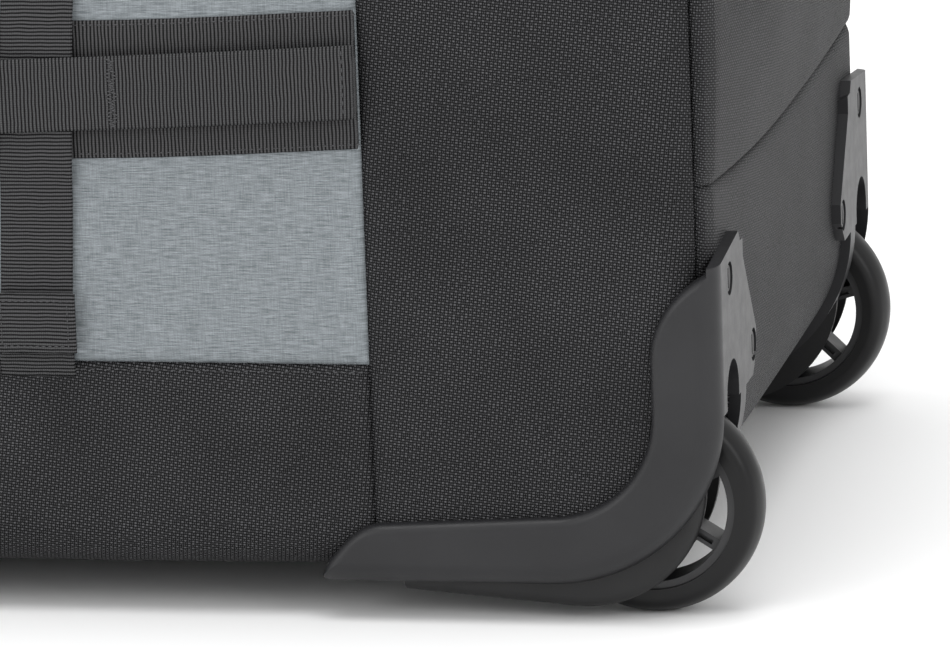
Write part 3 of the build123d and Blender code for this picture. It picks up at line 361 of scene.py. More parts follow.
# Plain-woven polyester lining, lighter than the outside so that the inside can be seen into. Its
# threads, really 0.3 mm apart, are drawn coarser so that they show.
# as on the nylon, its first colour is painted shade in the gaps and its second painted highlight on the
# crowns
lining = woven("polyester_lining", 0.8 * MM, "#2C3034", "#565C62", 0.75, 0.1 * MM, 0.1)


def panel(name, bm, node, cloth=nylon, body="case"):
    """A cut of cloth over foam and lined inside, which stands for one of the CAD panels."""
    return make_piece(name, bm, cloth, body, [node], thick=panel_t, inside=lining)


# ---- side panels of heather cloth
# Two-tone grey polyester, woven plain and brushed, over thin foam; sewn in between the dark band
# below, the dark ends and the top. Its long pale streaks run with the weft, and its weave is drawn at
# 0.55 mm, a little coarser than it is, to show.
heather, tree, bsdf = new_material("heather_polyester", Roughness=0.85, IOR=1.5, Specular_IOR_Level=0.25)
place, height = thread_waves(tree, 0.55 * MM)


def drawn_out(scale, detail, roughness=0.5):
    """Noise drawn out along one way of the cloth."""
    lines = add(tree, "ShaderNodeMapping", {"Vector": place, "Scale": scale})
    noise = {"Vector": lines, "Scale": 1.0, "Detail": detail, "Roughness": roughness}
    return add(tree, "ShaderNodeTexNoise", noise)


weft, warp = drawn_out((150.0, 2300.0, 1.0), 3.0, 0.65), drawn_out((1900.0, 160.0, 1.0), 2.0)
yarns = add(tree, "ShaderNodeMix", {"Factor": 0.22, 2: weft, 3: warp}, data_type="FLOAT")
tint = add(tree, "ShaderNodeValToRGB", {0: yarns}, stops=((0.34, "#5E6467"), (0.66, "#989EA2")))
# painted shade: by the weave's height, the colour darkens in the gaps between threads
painted_weave_shade = add(tree, "ShaderNodeMapRange", {"Value": height, "To Min": 0.86, "To Max": 1.05})
shade = add(tree, "ShaderNodeVectorMath", {0: tint, "Scale": painted_weave_shade}, operation="SCALE")
bump = add(tree, "ShaderNodeBump", {"Height": height, "Strength": 0.35, "Distance": 0.12 * MM})
onto_shader(tree, bsdf, Base_Color=shade, Normal=bump)


def filled(us, vs, fullness, ripple, waves, seed):
    """A panel's relief: drawn in at its seams, full in its middle by so many mm, and rippled."""

    def at(u, v):
        bulge = fullness + ripple * wave(u * waves[0], v * waves[1], seed)
        return edge_pinch(u, v, us, vs) + swell(u, v, us, vs) * bulge * MM

    return at


sides = ((-1, "near"), (1, "far"))
for side, word in sides:
    us, vs = steps(-cap_x, 0, cap_x), steps(band_z, rim_z)
    bm = new_bmesh()
    relief = filled(us, vs, 1.2, 0.7, (24, 30), 2 + side)
    cut(bm, us, vs, lambda u, v: Vector((u, side * half_w, v)), relief)
    panel(f"side_cloth_{word}", bm, "side_panels", heather)

# ---- dark bands along the base
# A strip of ballistic nylon under each grey panel. It turns under the case's long edge and ends in a
# felled seam on the base.
fold_in = 15 * MM
hem_z = base_z - fold_in


def down_side(side):
    """A place on the side whose height may run on below the base, where the cloth turns under."""

    def at(u, v):
        if v < base_z:
            return onto_case(u, side * (half_w - (base_z - v)), base_z)
        return onto_case(u, side * half_w, v)

    return at


for side, word in sides:
    us, vs = steps(-cap_x, 0, cap_x), steps(hem_z, band_z, coarse=5 * MM)
    bm = new_bmesh()
    cut(bm, us, vs, down_side(side), filled(us, vs, 2.0, 1.3, (36, 30), 5 + side))
    panel(f"base_band_{word}", bm, "side_bands")

# ---- dark sides round both ends
# Ballistic nylon over foam, from the grey panel's end seam to the corner seam. The corner guard sits
# on the wheel end's, so its lower edge stops behind the guard.
for side, word in sides:
    for end, low, name in ((1, base_z + 7 * MM, "wheel_end"), (-1, hem_z, "front")):
        us = steps(end * cap_x, end * (half_l - plan_r), end * half_l, coarse=6 * MM)
        vs = steps(low, rim_z, coarse=6 * MM)
        bm = new_bmesh()
        cut(bm, us, vs, down_side(side), filled(us, vs, 1.4, 1.5, (34, 22), 9 + side + end))
        node = "wheel_end_side_panels" if end > 0 else "front_end_side_panels"
        panel(f"{name}_side_{word}", bm, node)

# ---- wheel end of the case
# Two cuts of ballistic nylon: a stiff lower one over the end board, which runs under the corner, and a
# soft upper one that bulges over its sagging seam.
end_seam_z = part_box("wheel_end_upper_panel")[0].z
corner_x = half_l - wheel_end_r
housing_low, housing_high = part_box("wheel_housing_near")
slot_top = housing_high.z + 0.5 * MM
inner_edge = abs(housing_high.y) - 0.4 * MM


def seam_drop(y):
    """How far the end seam lies above its middle, across the case; it was sewn a little askew."""
    t = y / half_w
    return (8 if y < 0 else 3) * MM * t * t - 4 * MM


def on_end(u, v):
    """A place on the wheel end; below the base, v runs on along the underside."""
    if v < base_z:
        return onto_case(half_l - (base_z - v), u, base_z)
    near_seam = max(0.0, 1 - abs(v - end_seam_z) / (60 * MM))
    return onto_case(half_l, u, v + seam_drop(u) * near_seam)


patch_low, patch_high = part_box("end_handle_patches")
patch_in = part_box("end_handle_wheel_end")[1].y - 5 * MM


def off_patches(u, v):
    """How free the cloth is to swell: least where a grab handle's patch is sewn down."""
    beside = max(0.0, patch_in - abs(u), abs(u) - patch_high.y)
    above = max(0.0, patch_low.z - v, v - patch_high.z)
    t = min(1.0, sqrt(beside**2 + above**2) / (24 * MM))
    return 0.25 + 0.75 * t * t * (3 - 2 * t)


def end_relief(us, vs, bulge, seed):
    """An end panel's relief: drawn in at its seams and at the patches, and full between them."""

    def at(u, v):
        full = swell(u, v, us, vs) * off_patches(u, v)
        return edge_pinch(u, v, us, vs) + full * (bulge + 0.9 * wave(u * 22, v * 26, seed)) * MM

    return at


us, vs = steps(-half_w, 0, half_w), steps(end_seam_z, rim_z)
bm = new_bmesh()
cut(bm, us, vs, on_end, end_relief(us, vs, 7.0, 13))
panel("wheel_end_upper_cloth", bm, "wheel_end_upper_panel")

low_v = base_z - wheel_end_r
us, vs = steps(-half_w, half_w), steps(low_v, end_seam_z)


def stiff(u, v):
    """The slight fullness of cloth over a board."""
    return swell(u, v, us, vs) * 0.8 * MM


def upper_part(u, v):
    """Relief above the wheel housings, with the draw of the seams at its top and sides."""
    return pinch(min(end_seam_z - v, half_w - abs(u))) + stiff(u, v)


def lower_part(u, v):
    """Relief between the housings and under the corner, with the draw of the base's seam."""
    return stiff(u, v) + pinch(v - low_v)


bm = new_bmesh()
across = steps(-half_w, -inner_edge, inner_edge, half_w)
cut(bm, across, steps(slot_top, end_seam_z), on_end, upper_part)
between = steps(-inner_edge, inner_edge)
cut(bm, between, steps(low_v, slot_top, coarse=4 * MM), on_end, lower_part)
panel("wheel_end_lower_cloth", bm, "wheel_end_lower_panel")

# ---- base
# One cut of ballistic nylon over the polyethylene base board, from the wheel end's corner to the front
# corner, notched round the wheel housings.
notch_x = housing_low.x - 1 * MM
edge_y = half_w - fold_in


def on_base(u, v):
    """A place on the underside."""
    return onto_case(u, v, base_z)


def base_relief(u, v):
    """The base lies flat on its board and is drawn in at its seams only."""
    return pinch(min(edge_y - abs(v), corner_x - u)) - 0.2 * MM


bm = new_bmesh()
long_steps = steps(-half_l, notch_x, coarse=9 * MM)
cut(bm, long_steps, steps(-edge_y, -inner_edge, inner_edge, edge_y), on_base, base_relief)
cut(bm, steps(notch_x, corner_x, coarse=9 * MM), between, on_base, base_relief)
panel("base_cloth", bm, "base_panel")

# ---- front end
# Ballistic nylon over the front board, cut away round the cup that the pull handle stows in. The
# handle's bezel covers the cut edge.
bezel_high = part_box("handle_bezel")[1]
cup_y, cup_top = bezel_high.y - 7.5 * MM, bezel_high.z - 5 * MM


def on_front(u, v):
    """A place on the front end."""
    return onto_case(-half_l, u, v)


bm = new_bmesh()
us, vs = steps(-half_w, half_w), steps(base_z, rim_z)
front_relief = end_relief(us, vs, 4.0, 21)
cut(bm, steps(-half_w, -cup_y, cup_y, half_w), steps(cup_top, rim_z), on_front, front_relief)
for side in (-1, 1):
    cut(bm, steps(side * cup_y, side * half_w), steps(base_z, cup_top), on_front, front_relief)
panel("front_end_cloth", bm, "front_end_panel")

# ---- top frame round the lid
# A ring of ballistic nylon: it falls from the zip over the case's soft top edges to the side seams. Its
# grid runs once round the case, and each point on the rim faces one on the lid's opening.
lid_low, lid_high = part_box("lid_panel")
tape_low, tape_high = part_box("zip_tape_body")
mouth_x, mouth_near, mouth_far = tape_high.x, tape_low.y, lid_high.y + 0.3 * MM
lid_corner = 36 * MM
mouth_r = lid_corner + (mouth_x - lid_high.x)
top_u = steps(-half_l, half_l, coarse=9 * MM)
top_v = steps(-half_w, half_w, coarse=8 * MM)
around = (
    [(x, -half_w) for x in top_u[:-1]]
    + [(half_l, y) for y in top_v[:-1]]
    + [(x, half_w) for x in reversed(top_u[1:])]
    + [(-half_l, y) for y in reversed(top_v)]
)


def mouth(x, y):
    """The point on the lid's opening that faces a point on the top's edge."""
    mid_y = (mouth_near + mouth_far) / 2
    mx = x * mouth_x / half_l
    my = mid_y + y * (mouth_far - mid_y) / half_w
    if my < mid_y:
        ax, ay = rounded(abs(mx), mid_y - my, mouth_x, mid_y - mouth_near, mouth_r)
        mx, my = (ax if mx > 0 else -ax), mid_y - ay
    return mx, my


lengths = [0.0]
for a, b in zip(around, around[1:]):
    lengths.append(lengths[-1] + sqrt((a[0] - b[0]) ** 2 + (a[1] - b[1]) ** 2))
place_of = dict(zip(lengths, around))
fall = top_z - rim_z


def on_top(u, v):
    """A place on the ring: v is the height below the top, or the share of the way in to the opening."""
    x, y = place_of[u]
    if v < 0:
        return onto_case(x, y, top_z + v)
    mx, my = mouth(x, y)
    return onto_case(x + (mx - x) * v, y + (my - y) * v, top_z)


def top_relief(u, v):
    """Drawn in at the side seams, rippled over the edges and calm at the opening."""
    x, y = place_of[u]
    ripple = wave(x * 20, y * 24, 31)
    if v < 0:
        return pinch(fall + v) + 0.7 * MM * ripple * sin(pi * (fall + v) / (2 * fall))
    return 0.5 * MM * ripple * (1 - v)


bm = new_bmesh()
edge_steps, ring_steps = steps(-fall, 0, coarse=4 * MM)[:-1], [i / 14 for i in range(15)]
cut(bm, lengths, edge_steps + ring_steps, on_top, top_relief)
panel("top_cloth", bm, "top_panel")

# ---- lid
# The same nylon over foam, crowned a little so that it sheds rain. Its far side is sewn to the top
# frame, which is its hinge; the zip closes the other three.
lid_mid = (lid_low + lid_high) / 2


def on_lid(u, v):
    """A place on the lid, whose two near corners are round."""
    ax, ay = abs(u), lid_mid.y - v
    if ay > 0:
        ax, ay = rounded(ax, ay, lid_high.x, lid_mid.y - lid_low.y, lid_corner)
    return Vector((ax if u > 0 else -ax, lid_mid.y - ay, top_z))


def lid_relief(u, v):
    """Drawn in at the zip, crowned and rippled in the middle."""
    edge = min(lid_high.x - abs(u), v - lid_low.y, lid_high.y - v)
    crown = (1 - (u / lid_high.x) ** 4) * (1 - ((v - lid_mid.y) / (lid_high.y - lid_mid.y)) ** 4)
    return pinch(edge, 0.8 * MM) + (3.2 * crown + 0.5 * crown * wave(u * 16, v * 20, 41)) * MM


bm = new_bmesh()
cut(bm, steps(lid_low.x, 0, lid_high.x, coarse=9 * MM), steps(lid_low.y, lid_high.y), on_lid, lid_relief)
panel("lid_cloth", bm, "lid_panel", body="lid")

# ---- zip
# A coil zip on three sides of the lid: two dull woven polyester tapes, each with a row of half-glossy
# nylon coil along its edge, sewn to the top frame and to the lid. The tapes' twill, really half a
# millimetre, is drawn coarser to show.
# as on the nylon, its first colour is painted shade in the gaps and its second painted highlight on the
# crowns
tape_cloth = woven("zip_tape_twill", 0.9 * MM, "#101011", "#2C2C2E", 0.7, 0.1 * MM, 0.1)
coil_nylon, tree, bsdf = new_material("nylon_coil", Roughness=0.38, IOR=1.53)
haze = add(tree, "ShaderNodeTexNoise", {"Scale": 900.0, "Detail": 2.0})
tint = add(tree, "ShaderNodeValToRGB", {0: haze}, stops=((0.0, "#151516"), (1.0, "#2B2B2C")))
onto_shader(tree, bsdf, Base_Color=tint)


def round_mouth(grow):
    """Points and headings along the zip, so far out from the lid's edge, from hinge to hinge."""
    x, near, far, r = lid_high.x + grow, lid_low.y - grow, lid_high.y - 2 * MM, lid_corner + grow
    line = []
    count, arc = 60, 16

    def mark(px, py, out_x, out_y):
        """Adds a point and the heading out of the lid there."""
        line.append((Vector((px, py, 0)), Vector((out_x, out_y, 0))))

    for i in range(count):
        mark(-x, far + (near + r - far) * i / count, -1, 0)
    for i in range(arc):
        a = pi + pi / 2 * i / arc
        mark(-x + r + r * cos(a), near + r + r * sin(a), cos(a), sin(a))
    for i in range(2 * count):
        mark(-x + r + 2 * (x - r) * i / (2 * count), near, 0, -1)
    for i in range(arc):
        a = 1.5 * pi + pi / 2 * i / arc
        mark(x - r + r * cos(a), near + r + r * sin(a), cos(a), sin(a))
    for i in range(count + 1):
        mark(x, near + r + (far - near - r) * i / count, 1, 0)
    return line


def join(bm, part):
    """Moves a finished part of a mesh into the mesh of its piece."""
    mesh = bpy.data.meshes.new("part")
    part.to_mesh(mesh)
    part.free()
    bm.from_mesh(mesh)
    bpy.data.meshes.remove(mesh)


def row_of(bm, line, pitch, start, shape):
    """Repeats a small shape along a line of points and headings; joins them forty at a time."""
    row, held, travelled, wanted = bmesh.new(), 0, 0.0, start
    for (a, out_a), (b, out_b) in zip(line, line[1:]):
        span = (b - a).length
        while wanted < travelled + span:
            t = (wanted - travelled) / span
            shape(row, a.lerp(b, t), (b - a).normalized(), out_a.lerp(out_b, t).normalized())
            wanted += pitch
            held += 1
            if held % 40 == 0:
                join(bm, row)
                row = bmesh.new()
        travelled += span
    join(bm, row)


def coil_turn(row, where, along, out):
    """One turn of a zip's coil: a short fat bar that reaches across the tapes' meeting line."""
    axes = Matrix((out, Vector((0, 0, 1)).cross(out), Vector((0, 0, 1)))).transposed().to_4x4()
    on_its_side = Matrix.Rotation(pi / 2, 4, "Y")
    spot = Matrix.Translation(where + Vector((0, 0, top_z + 0.05 * MM))) @ axes @ on_its_side
    size = {"radius1": 0.55 * MM, "radius2": 0.42 * MM, "depth": 2.0 * MM}
    bmesh.ops.create_cone(row, cap_ends=True, segments=5, matrix=spot, **size)


def facing(*way):
    """Says that a cut faces one way all over."""
    return lambda p: Vector(way)


tape_lift = Vector((0, 0, top_z - 0.1 * MM))
tape_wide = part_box("zip_tape_body")[1].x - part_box("zip_tape_lid")[1].x
lid_tape_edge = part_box("zip_tape_lid")[1].x - lid_high.x
for name, body, inner, outer, coil_at in (
    ("body", "case", lid_tape_edge + 1.8 * MM, lid_tape_edge + tape_wide, lid_tape_edge + 2.1 * MM),
    ("lid", "lid", 0.1 * MM, lid_tape_edge, lid_tape_edge - 0.3 * MM),
):
    edge_in, edge_out = round_mouth(inner), round_mouth(outer)
    run = [0.0]
    for a, b in zip(edge_out, edge_out[1:]):
        run.append(run[-1] + (a[0] - b[0]).length)
    index = {length: i for i, length in enumerate(run)}

    def on_tape(u, v):
        """A place on the tape, from the way along it and the way out from the lid."""
        i = index[u]
        return edge_in[i][0].lerp(edge_out[i][0], (v - inner) / (outer - inner)) + tape_lift

    bm = new_bmesh()
    across = [outer - (outer - inner) * i / 5 for i in range(6)]
    cut(bm, run, across, on_tape, outward=facing(0, 0, 1))
    tape = [f"zip_tape_{name}"]
    make_piece(f"zip_tape_cloth_{name}", bm, tape_cloth, body, tape, thick=0.9 * MM)
    bm = new_bmesh()
    start = 0.6 * MM if name == "body" else 1.7 * MM
    row_of(bm, round_mouth(coil_at), 2.2 * MM, start, coil_turn)
    make_piece(f"zip_coil_{name}", bm, coil_nylon, body, merge=False)

# ---- webbing
# Polypropylene webbing, woven with heavy ribs across its width and a smooth selvedge on each edge. Its
# colour follows the ribs' height: painted highlight makes the ribs' tops dull grey, and painted shade
# keeps the grooves between them black.
dull_plastic = {"Roughness": 0.5, "IOR": 1.49, "Specular_IOR_Level": 0.12}
webbing, tree, bsdf = new_material("ribbed_polypropylene", **dull_plastic)
rib_pitch, twist_pitch = 1.25 * MM, 0.75 * MM
place = add(tree, "ShaderNodeUVMap", uv_map="cloth")
axes = add(tree, "ShaderNodeSeparateXYZ", {0: place})
wander = add(tree, "ShaderNodeTexNoise", {"Vector": place, "Scale": 130.0, "Detail": 1.0})
rows = add(tree, "ShaderNodeMath", {0: axes, 1: 1 / rib_pitch}, operation="MULTIPLY")
bent = add(tree, "ShaderNodeMath", {0: wander, 1: 0.5, 2: rows}, operation="MULTIPLY_ADD")
whole = add(tree, "ShaderNodeMath", {0: bent}, operation="FLOOR")
twists = {0: axes.outputs[1], 1: 1 / twist_pitch, 2: whole}
beads = add(tree, "ShaderNodeMath", twists, operation="MULTIPLY_ADD")
turns = [add(tree, "ShaderNodeMath", {0: way, 1: pi}, operation="MULTIPLY") for way in (bent, beads)]
sines = [add(tree, "ShaderNodeMath", {0: turn}, operation="SINE") for turn in turns]
ribs, bead_round = [add(tree, "ShaderNodeMath", {0: sine}, operation="ABSOLUTE") for sine in sines]
bead_soft = add(tree, "ShaderNodeMapRange", {"Value": bead_round, "From Max": 0.7, "To Min": 0.7})
rib_height = add(tree, "ShaderNodeMath", {0: ribs, 1: bead_soft}, operation="MULTIPLY")
fuzz = add(tree, "ShaderNodeTexNoise", {"Vector": place, "Scale": 1500.0, "Detail": 2.0})
fuzzy = add(tree, "ShaderNodeMath", {0: fuzz, 1: 0.2, 2: rib_height}, operation="MULTIPLY_ADD")
# painted light: by rib height, painted shade in the grooves and painted highlight on the rib tops
tint = add(tree, "ShaderNodeValToRGB", {0: fuzzy}, stops=((0.46, "#020203"), (1.0, "#4C4C4D")))
bump = add(tree, "ShaderNodeBump", {"Height": fuzzy, "Strength": 0.6, "Distance": 0.3 * MM})
onto_shader(tree, bsdf, Base_Color=tint, Normal=bump)

web_t = 1.8 * MM
skin = 0.05 * MM  # air between two layers that are sewn together
selvedge = 0.45 * MM  # how much thinner webbing is at its edges


def strap(bm, us, width, place, outward):
    """A length of webbing: place gives a point from the way along and the way across."""
    vs = [-width / 2, -width / 2 + 0.5 * MM, -width / 2 + 1.5 * MM]
    vs = vs + [width * (i / 5 - 0.5) * 0.8 for i in range(6)] + [-v for v in reversed(vs)]

    def thin(u, v):
        return -selvedge * max(0, 1 - (width / 2 - abs(v)) / MM) ** 2

    cut(bm, us, sorted(vs), place, thin, outward)


def web_piece(name, bm, thick, *nodes, body="case"):
    """Webbing of a thickness that rides on a body and may stand for CAD nodes."""
    return make_piece(name, bm, webbing, body, nodes, thick=thick)


def even(a, b, step=5 * MM):
    """Evenly spread stops from a to b."""
    count = max(1, round(abs(b - a) / step))
    return [a + (b - a) * i / count for i in range(count + 1)]


# Backing webbing, 50 mm wide, sewn flat to each side panel; it sags a little between its ends.
back_low, back_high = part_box("backing_webbing")
handle_mid = (back_low.z + back_high.z) / 2
backing_w = 47 * MM  # as sewn, drawn in by its stitches
web_w = 25 * MM
upright_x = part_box("upright_webbing")[1].x - web_w / 2
strap_x = cap_x - 0.6 * MM


def sag(x):
    """Height of the handle's line at a place along the side."""
    return handle_mid - 2.0 * MM + 6.9 * MM * (x / cap_x) ** 2


def back_sag(x):
    """Height of the backing webbing's middle, which is sewn down and sags less."""
    return handle_mid + 4.5 * MM * (x / cap_x) ** 2 + 0.6 * MM * sin(x * 31)


for side, word in sides:
    bm = new_bmesh()
    face = side * (half_w + web_t + skin)
    along = even(-strap_x, strap_x)
    strap(bm, along, backing_w, lambda u, v: Vector((u, face, back_sag(u) + v)), facing(0, side, 0))
    web_piece(f"backing_strap_{word}", bm, web_t + 1.2 * MM, "backing_webbing")

# Upright webbings, 25 mm wide, from the band's seam to the top's. They lie over the backing and stand a
# little off the panel elsewhere.
def lean_x(z):
    """How far along the side an upright webbing is at a height; it leans out by one in twenty."""
    return upright_x + 0.05 * (z - 110 * MM)


def over_backing(z, x):
    """How far the upright webbing's face is from the panel at a height."""
    d = abs(z - sag(x)) - backing_w / 2
    rise = 1 / (1 + max(0.0, d / (9 * MM)) ** 2) if d > 0 else 1.0
    return (web_t + 0.9 * MM) + (web_t + skin) * rise


for side, word in sides:
    for end, hand in ((1, "right"), (-1, "left")):

        def on_upright(z, v):
            """A place on the upright, from its height and the way across."""
            away = half_w + over_backing(z, end * upright_x)
            return Vector((end * lean_x(z) + v, side * away, z))

        bm = new_bmesh()
        strap(bm, even(band_z + 3 * MM, rim_z - 1 * MM, 3 * MM), web_w, on_upright, facing(0, side, 0))
        web_piece(f"upright_strap_{word}_{hand}", bm, web_t, "upright_webbing")

# Each upright's lower end is folded up on itself and box-stitched, and a short tongue of webbing
# holds it in the band's seam.
anchor_w = 28.5 * MM
anchor_z = band_z + 14 * MM
# how far the fold rolls inwards, by its height over the seam, both in mm
roll = {4: 0.6, 4.6: 0.15, 6: 0, 12: 0, 18: 0, 22: 0, 24: 0.1, 24.8: 0.7}
fold = {band_z + height * MM: depth * MM for height, depth in roll.items()}
for side, word in sides:

    def on_fold(z, v):
        """A place on the folded end, whose upper and lower edges roll inwards."""
        return Vector((mid + v, side * (half_w + 2 * web_t + 1.9 * MM - fold[z]), z))

    def on_tongue(z, v):
        """A place on the tongue, which dips under the band's seam at its foot."""
        proud = 1.7 * MM if z > band_z - 3 * MM else 0.9 * MM
        return Vector((mid + v, side * (half_w + proud), z))

    bm = new_bmesh()
    for end in (1, -1):
        mid = end * lean_x(anchor_z)
        strap(bm, list(fold), anchor_w, on_fold, facing(0, side, 0))
    web_piece(f"strap_anchor_{word}", bm, 2.1 * MM, "webbing_anchors")
    bm = new_bmesh()
    rise = even(band_z - 5 * MM, band_z + 9 * MM, 2 * MM)
    for end in (1, -1):
        mid = end * lean_x(band_z)
        strap(bm, rise, web_w + 1 * MM, on_tongue, facing(0, side, 0))
    web_piece(f"strap_tongue_{word}", bm, 1.6 * MM)

# Side handles: 25 mm webbing over the backing and the uprights. The middle is doubled and swings; its
# ends are sewn down to the grey panel's seams.
handle_low, handle_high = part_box("side_handle_near")
grip_x = handle_high.x
bow = handle_high.y - handle_low.y - web_t
lift = 2 * web_t + 3 * skin


def handle_face(x):
    """How far the face of the swinging part stands off the side."""
    t = abs(x) / grip_x
    return half_w + lift + web_t + 0.3 * MM + bow * (1 - t * t * (3 - 2 * t))


for side, word in sides:

    def on_handle(u, v):
        """A place on the handle, from the way along the case and up the webbing."""
        return Vector((u, side * (handle_face(min(abs(u), grip_x)) + 0.2 * MM), sag(u) + v))

    for end, hand in ((1, "right"), (-1, "left")):
        bm = new_bmesh()
        strap(bm, even(0, end * strap_x, 4 * MM), web_w, on_handle, facing(0, side, 0))
        nodes = f"side_handle_{word}", "side_handle_ends"
        half = web_piece(f"handle_strap_{word}_{hand}", bm, web_t, *nodes, body=None)
        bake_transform(half)

# Grab handles on both ends: wide webbing, bowed out, on patches sewn to the end panels.
grab_t = 2.2 * MM
for end, body in ((1, "end_handle_wheel_end"), (-1, "end_handle_front")):
    low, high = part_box(body)
    mid_z, reach, width = (low.z + high.z) / 2, high.y, high.z - low.z
    stand = (high.x - low.x) - grab_t
    foot = min(abs(low.x), abs(high.x))

    def on_grab(u, v):
        """A place on the bowed handle, from the way across the case and up the webbing."""
        t = abs(u) / reach
        return Vector((end * (foot + grab_t + stand * (1 - t**2 * (3 - 2 * t))), u, mid_z + v))

    def on_patch(u, v):
        """A place on a patch, which lies flat on the end panel."""
        return Vector((end * (foot - 0.2 * MM), u, mid_z + v))

    bm = new_bmesh()
    strap(bm, even(-reach, reach, 4 * MM), width, on_grab, facing(end, 0, 0))
    web_piece(f"{body}_strap", bm, grab_t, body, body=body)
    bm = new_bmesh()
    for side in (1, -1):
        along = even(side * (reach - 5 * MM), side * (reach + 36 * MM), 4 * MM)
        strap(bm, along, width + 4 * MM, on_patch, facing(end, 0, 0))
    web_piece(f"{body}_patches", bm, 4 * MM, "end_handle_patches")

# ---- stitching
# Bonded nylon thread, size 40, grey with a slight twist. Each stitch is a short bead of thread that
# sinks at both ends.
waxed = {"Roughness": 0.45, "IOR": 1.53, "Specular_IOR_Level": 0.2}
thread, tree, bsdf = new_material("bonded_nylon_thread", **waxed)
twist = add(tree, "ShaderNodeTexNoise", {"Scale": 1400.0, "Detail": 2.0})
tint = add(tree, "ShaderNodeValToRGB", {0: twist}, stops=((0.0, "#1E1E1F"), (1.0, "#5C5C5E")))
onto_shader(tree, bsdf, Base_Color=tint)


def stitch_row(bm, points, out, pitch=2.8 * MM, length=1.9 * MM, r=0.24 * MM):
    """Beads of thread along a line of points; out is the way the cloth faces."""

    def bead(row, where, along, away):
        turn = Matrix((along, away.cross(along).normalized(), away)).transposed().to_4x4()
        spot = Matrix.Translation(where) @ turn @ Matrix.Diagonal((length / 2, r, r, 1))
        bmesh.ops.create_uvsphere(row, u_segments=6, v_segments=4, radius=1, matrix=spot)

    row_of(bm, [(Vector(p), Vector(out)) for p in points], pitch, pitch / 2, bead)


def box_round(low, high):
    """The corners of an upright box between two of them, from the first one round to it again."""
    (x0, y0, z0), (x1, y1, z1) = low, high
    return [(x0, y0, z0), (x1, y1, z0), (x1, y1, z1), (x0, y0, z1), (x0, y0, z0)]


for side, word in sides:
    out = (0, side, 0)
    bm = new_bmesh()
    # the band's top seam
    y = side * (half_w + 0.5 * MM)
    seam = even(-cap_x + 2 * MM, cap_x - 2 * MM, 40 * MM)
    stitch_row(bm, [(x, y, band_z - 2.4 * MM) for x in seam], out)
    # both edges of the backing webbing, left out where an upright crosses
    y = side * (half_w + web_t + skin)
    past, short = 16 * MM, 14 * MM
    runs = [(upright_x + past, cap_x), (-upright_x + short, upright_x - short)]
    runs.append((-cap_x, -upright_x - past))
    for edge in (-1, 1):
        row_z = edge * (backing_w / 2 - 1.6 * MM)
        for a, b in runs:
            stitch_row(bm, [(x, y, back_sag(x) + row_z) for x in even(a, b, 12 * MM)], out)
    # the anchors' boxes, the handle's zigzag bartacks and its sewn ends
    y = side * (half_w + 2 * web_t + 1.95 * MM)
    y_end = side * (handle_face(grip_x) + 0.3 * MM)
    for end in (1, -1):
        mid = end * lean_x(anchor_z)
        low, high = (mid - 11.5 * MM, y, band_z + 6.5 * MM), (mid + 11.5 * MM, y, band_z + 22 * MM)
        stitch_row(bm, box_round(low, high), out, 2.2 * MM, 1.6 * MM)
        x = end * (grip_x + 8 * MM)
        climb = [sag(x) + (k / 19 - 1) * 11.5 * MM for k in range(39)]
        zigzag = [(x + (k % 2) * 2.2 * MM, y_end, z) for k, z in enumerate(climb)]
        stitch_row(bm, zigzag, out, 2.5 * MM, 2.4 * MM, 0.3 * MM)
        x = end * (cap_x - 4 * MM)
        stitch_row(bm, [(x, y_end, sag(x) - 11 * MM), (x, y_end, sag(x) + 11 * MM)], out)
    make_piece(f"side_stitching_{word}", bm, thread, "case", merge=False)

# Boxes with crosses hold the grab handles' patches.
low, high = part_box("end_handle_wheel_end")
foot, mid_z = min(abs(low.x), abs(high.x)), (low.z + high.z) / 2
bm = new_bmesh()
for end in (1, -1):
    x = end * (foot - 0.15 * MM)
    for side in (1, -1):
        y0, y1 = side * (high.y + 2 * MM), side * (high.y + 32 * MM)
        z0, z1 = mid_z - 13 * MM, mid_z + 13 * MM
        stitch_row(bm, box_round((x, y0, z0), (x, y1, z1)) + [(x, y1, z1)], (end, 0, 0))
        stitch_row(bm, [(x, y1, z0), (x, y0, z1)], (end, 0, 0))
make_piece("end_patch_stitching", bm, thread, "case", merge=False)

# ---- inside: floor, pocket and sleeve
# Plain-woven polyester over foam for the floor and the sleeve, sewn into the lining's seams, and a
# knitted mesh pocket under the lid.
# as on the nylon, its first colour is painted shade in the gaps and its second painted highlight on the
# crowns
mesh_knit = woven("knitted_mesh", 1.6 * MM, "#060607", "#2E2E30", 0.8, 0.4 * MM, 0.1)


def box_of(bm, x0, x1, y0, y1, z0, z1):
    """Adds a box between two corners, cut into squares of about 14 mm so that it can be shaped."""
    low = Vector((min(x0, x1), min(y0, y1), min(z0, z1)))
    high = Vector((max(x0, x1), max(y0, y1), max(z0, z1)))
    part = bmesh.new()
    part.loops.layers.uv.new("cloth")
    bmesh.ops.create_cube(part, size=1)
    for v in part.verts:
        v.co = Vector([(low[i] + high[i]) / 2 + v.co[i] * (high[i] - low[i]) for i in range(3)])
    for axis in range(3):
        count = max(1, round((high[axis] - low[axis]) / (14 * MM)))
        for i in range(1, count):
            at, way = Vector((0, 0, 0)), Vector((0, 0, 0))
            at[axis], way[axis] = low[axis] + (high[axis] - low[axis]) * i / count, 1
            everything = part.verts[:] + part.edges[:] + part.faces[:]
            bmesh.ops.bisect_plane(part, geom=everything, plane_co=at, plane_no=way)
    part.normal_update()
    uv = part.loops.layers.uv["cloth"]
    for face in part.faces:
        flat = max(range(3), key=lambda i: abs(face.normal[i]))
        keep = [i for i in range(3) if i != flat]
        for loop in face.loops:
            loop[uv].uv = (loop.vert.co[keep[0]], loop.vert.co[keep[1]])
    join(bm, part)


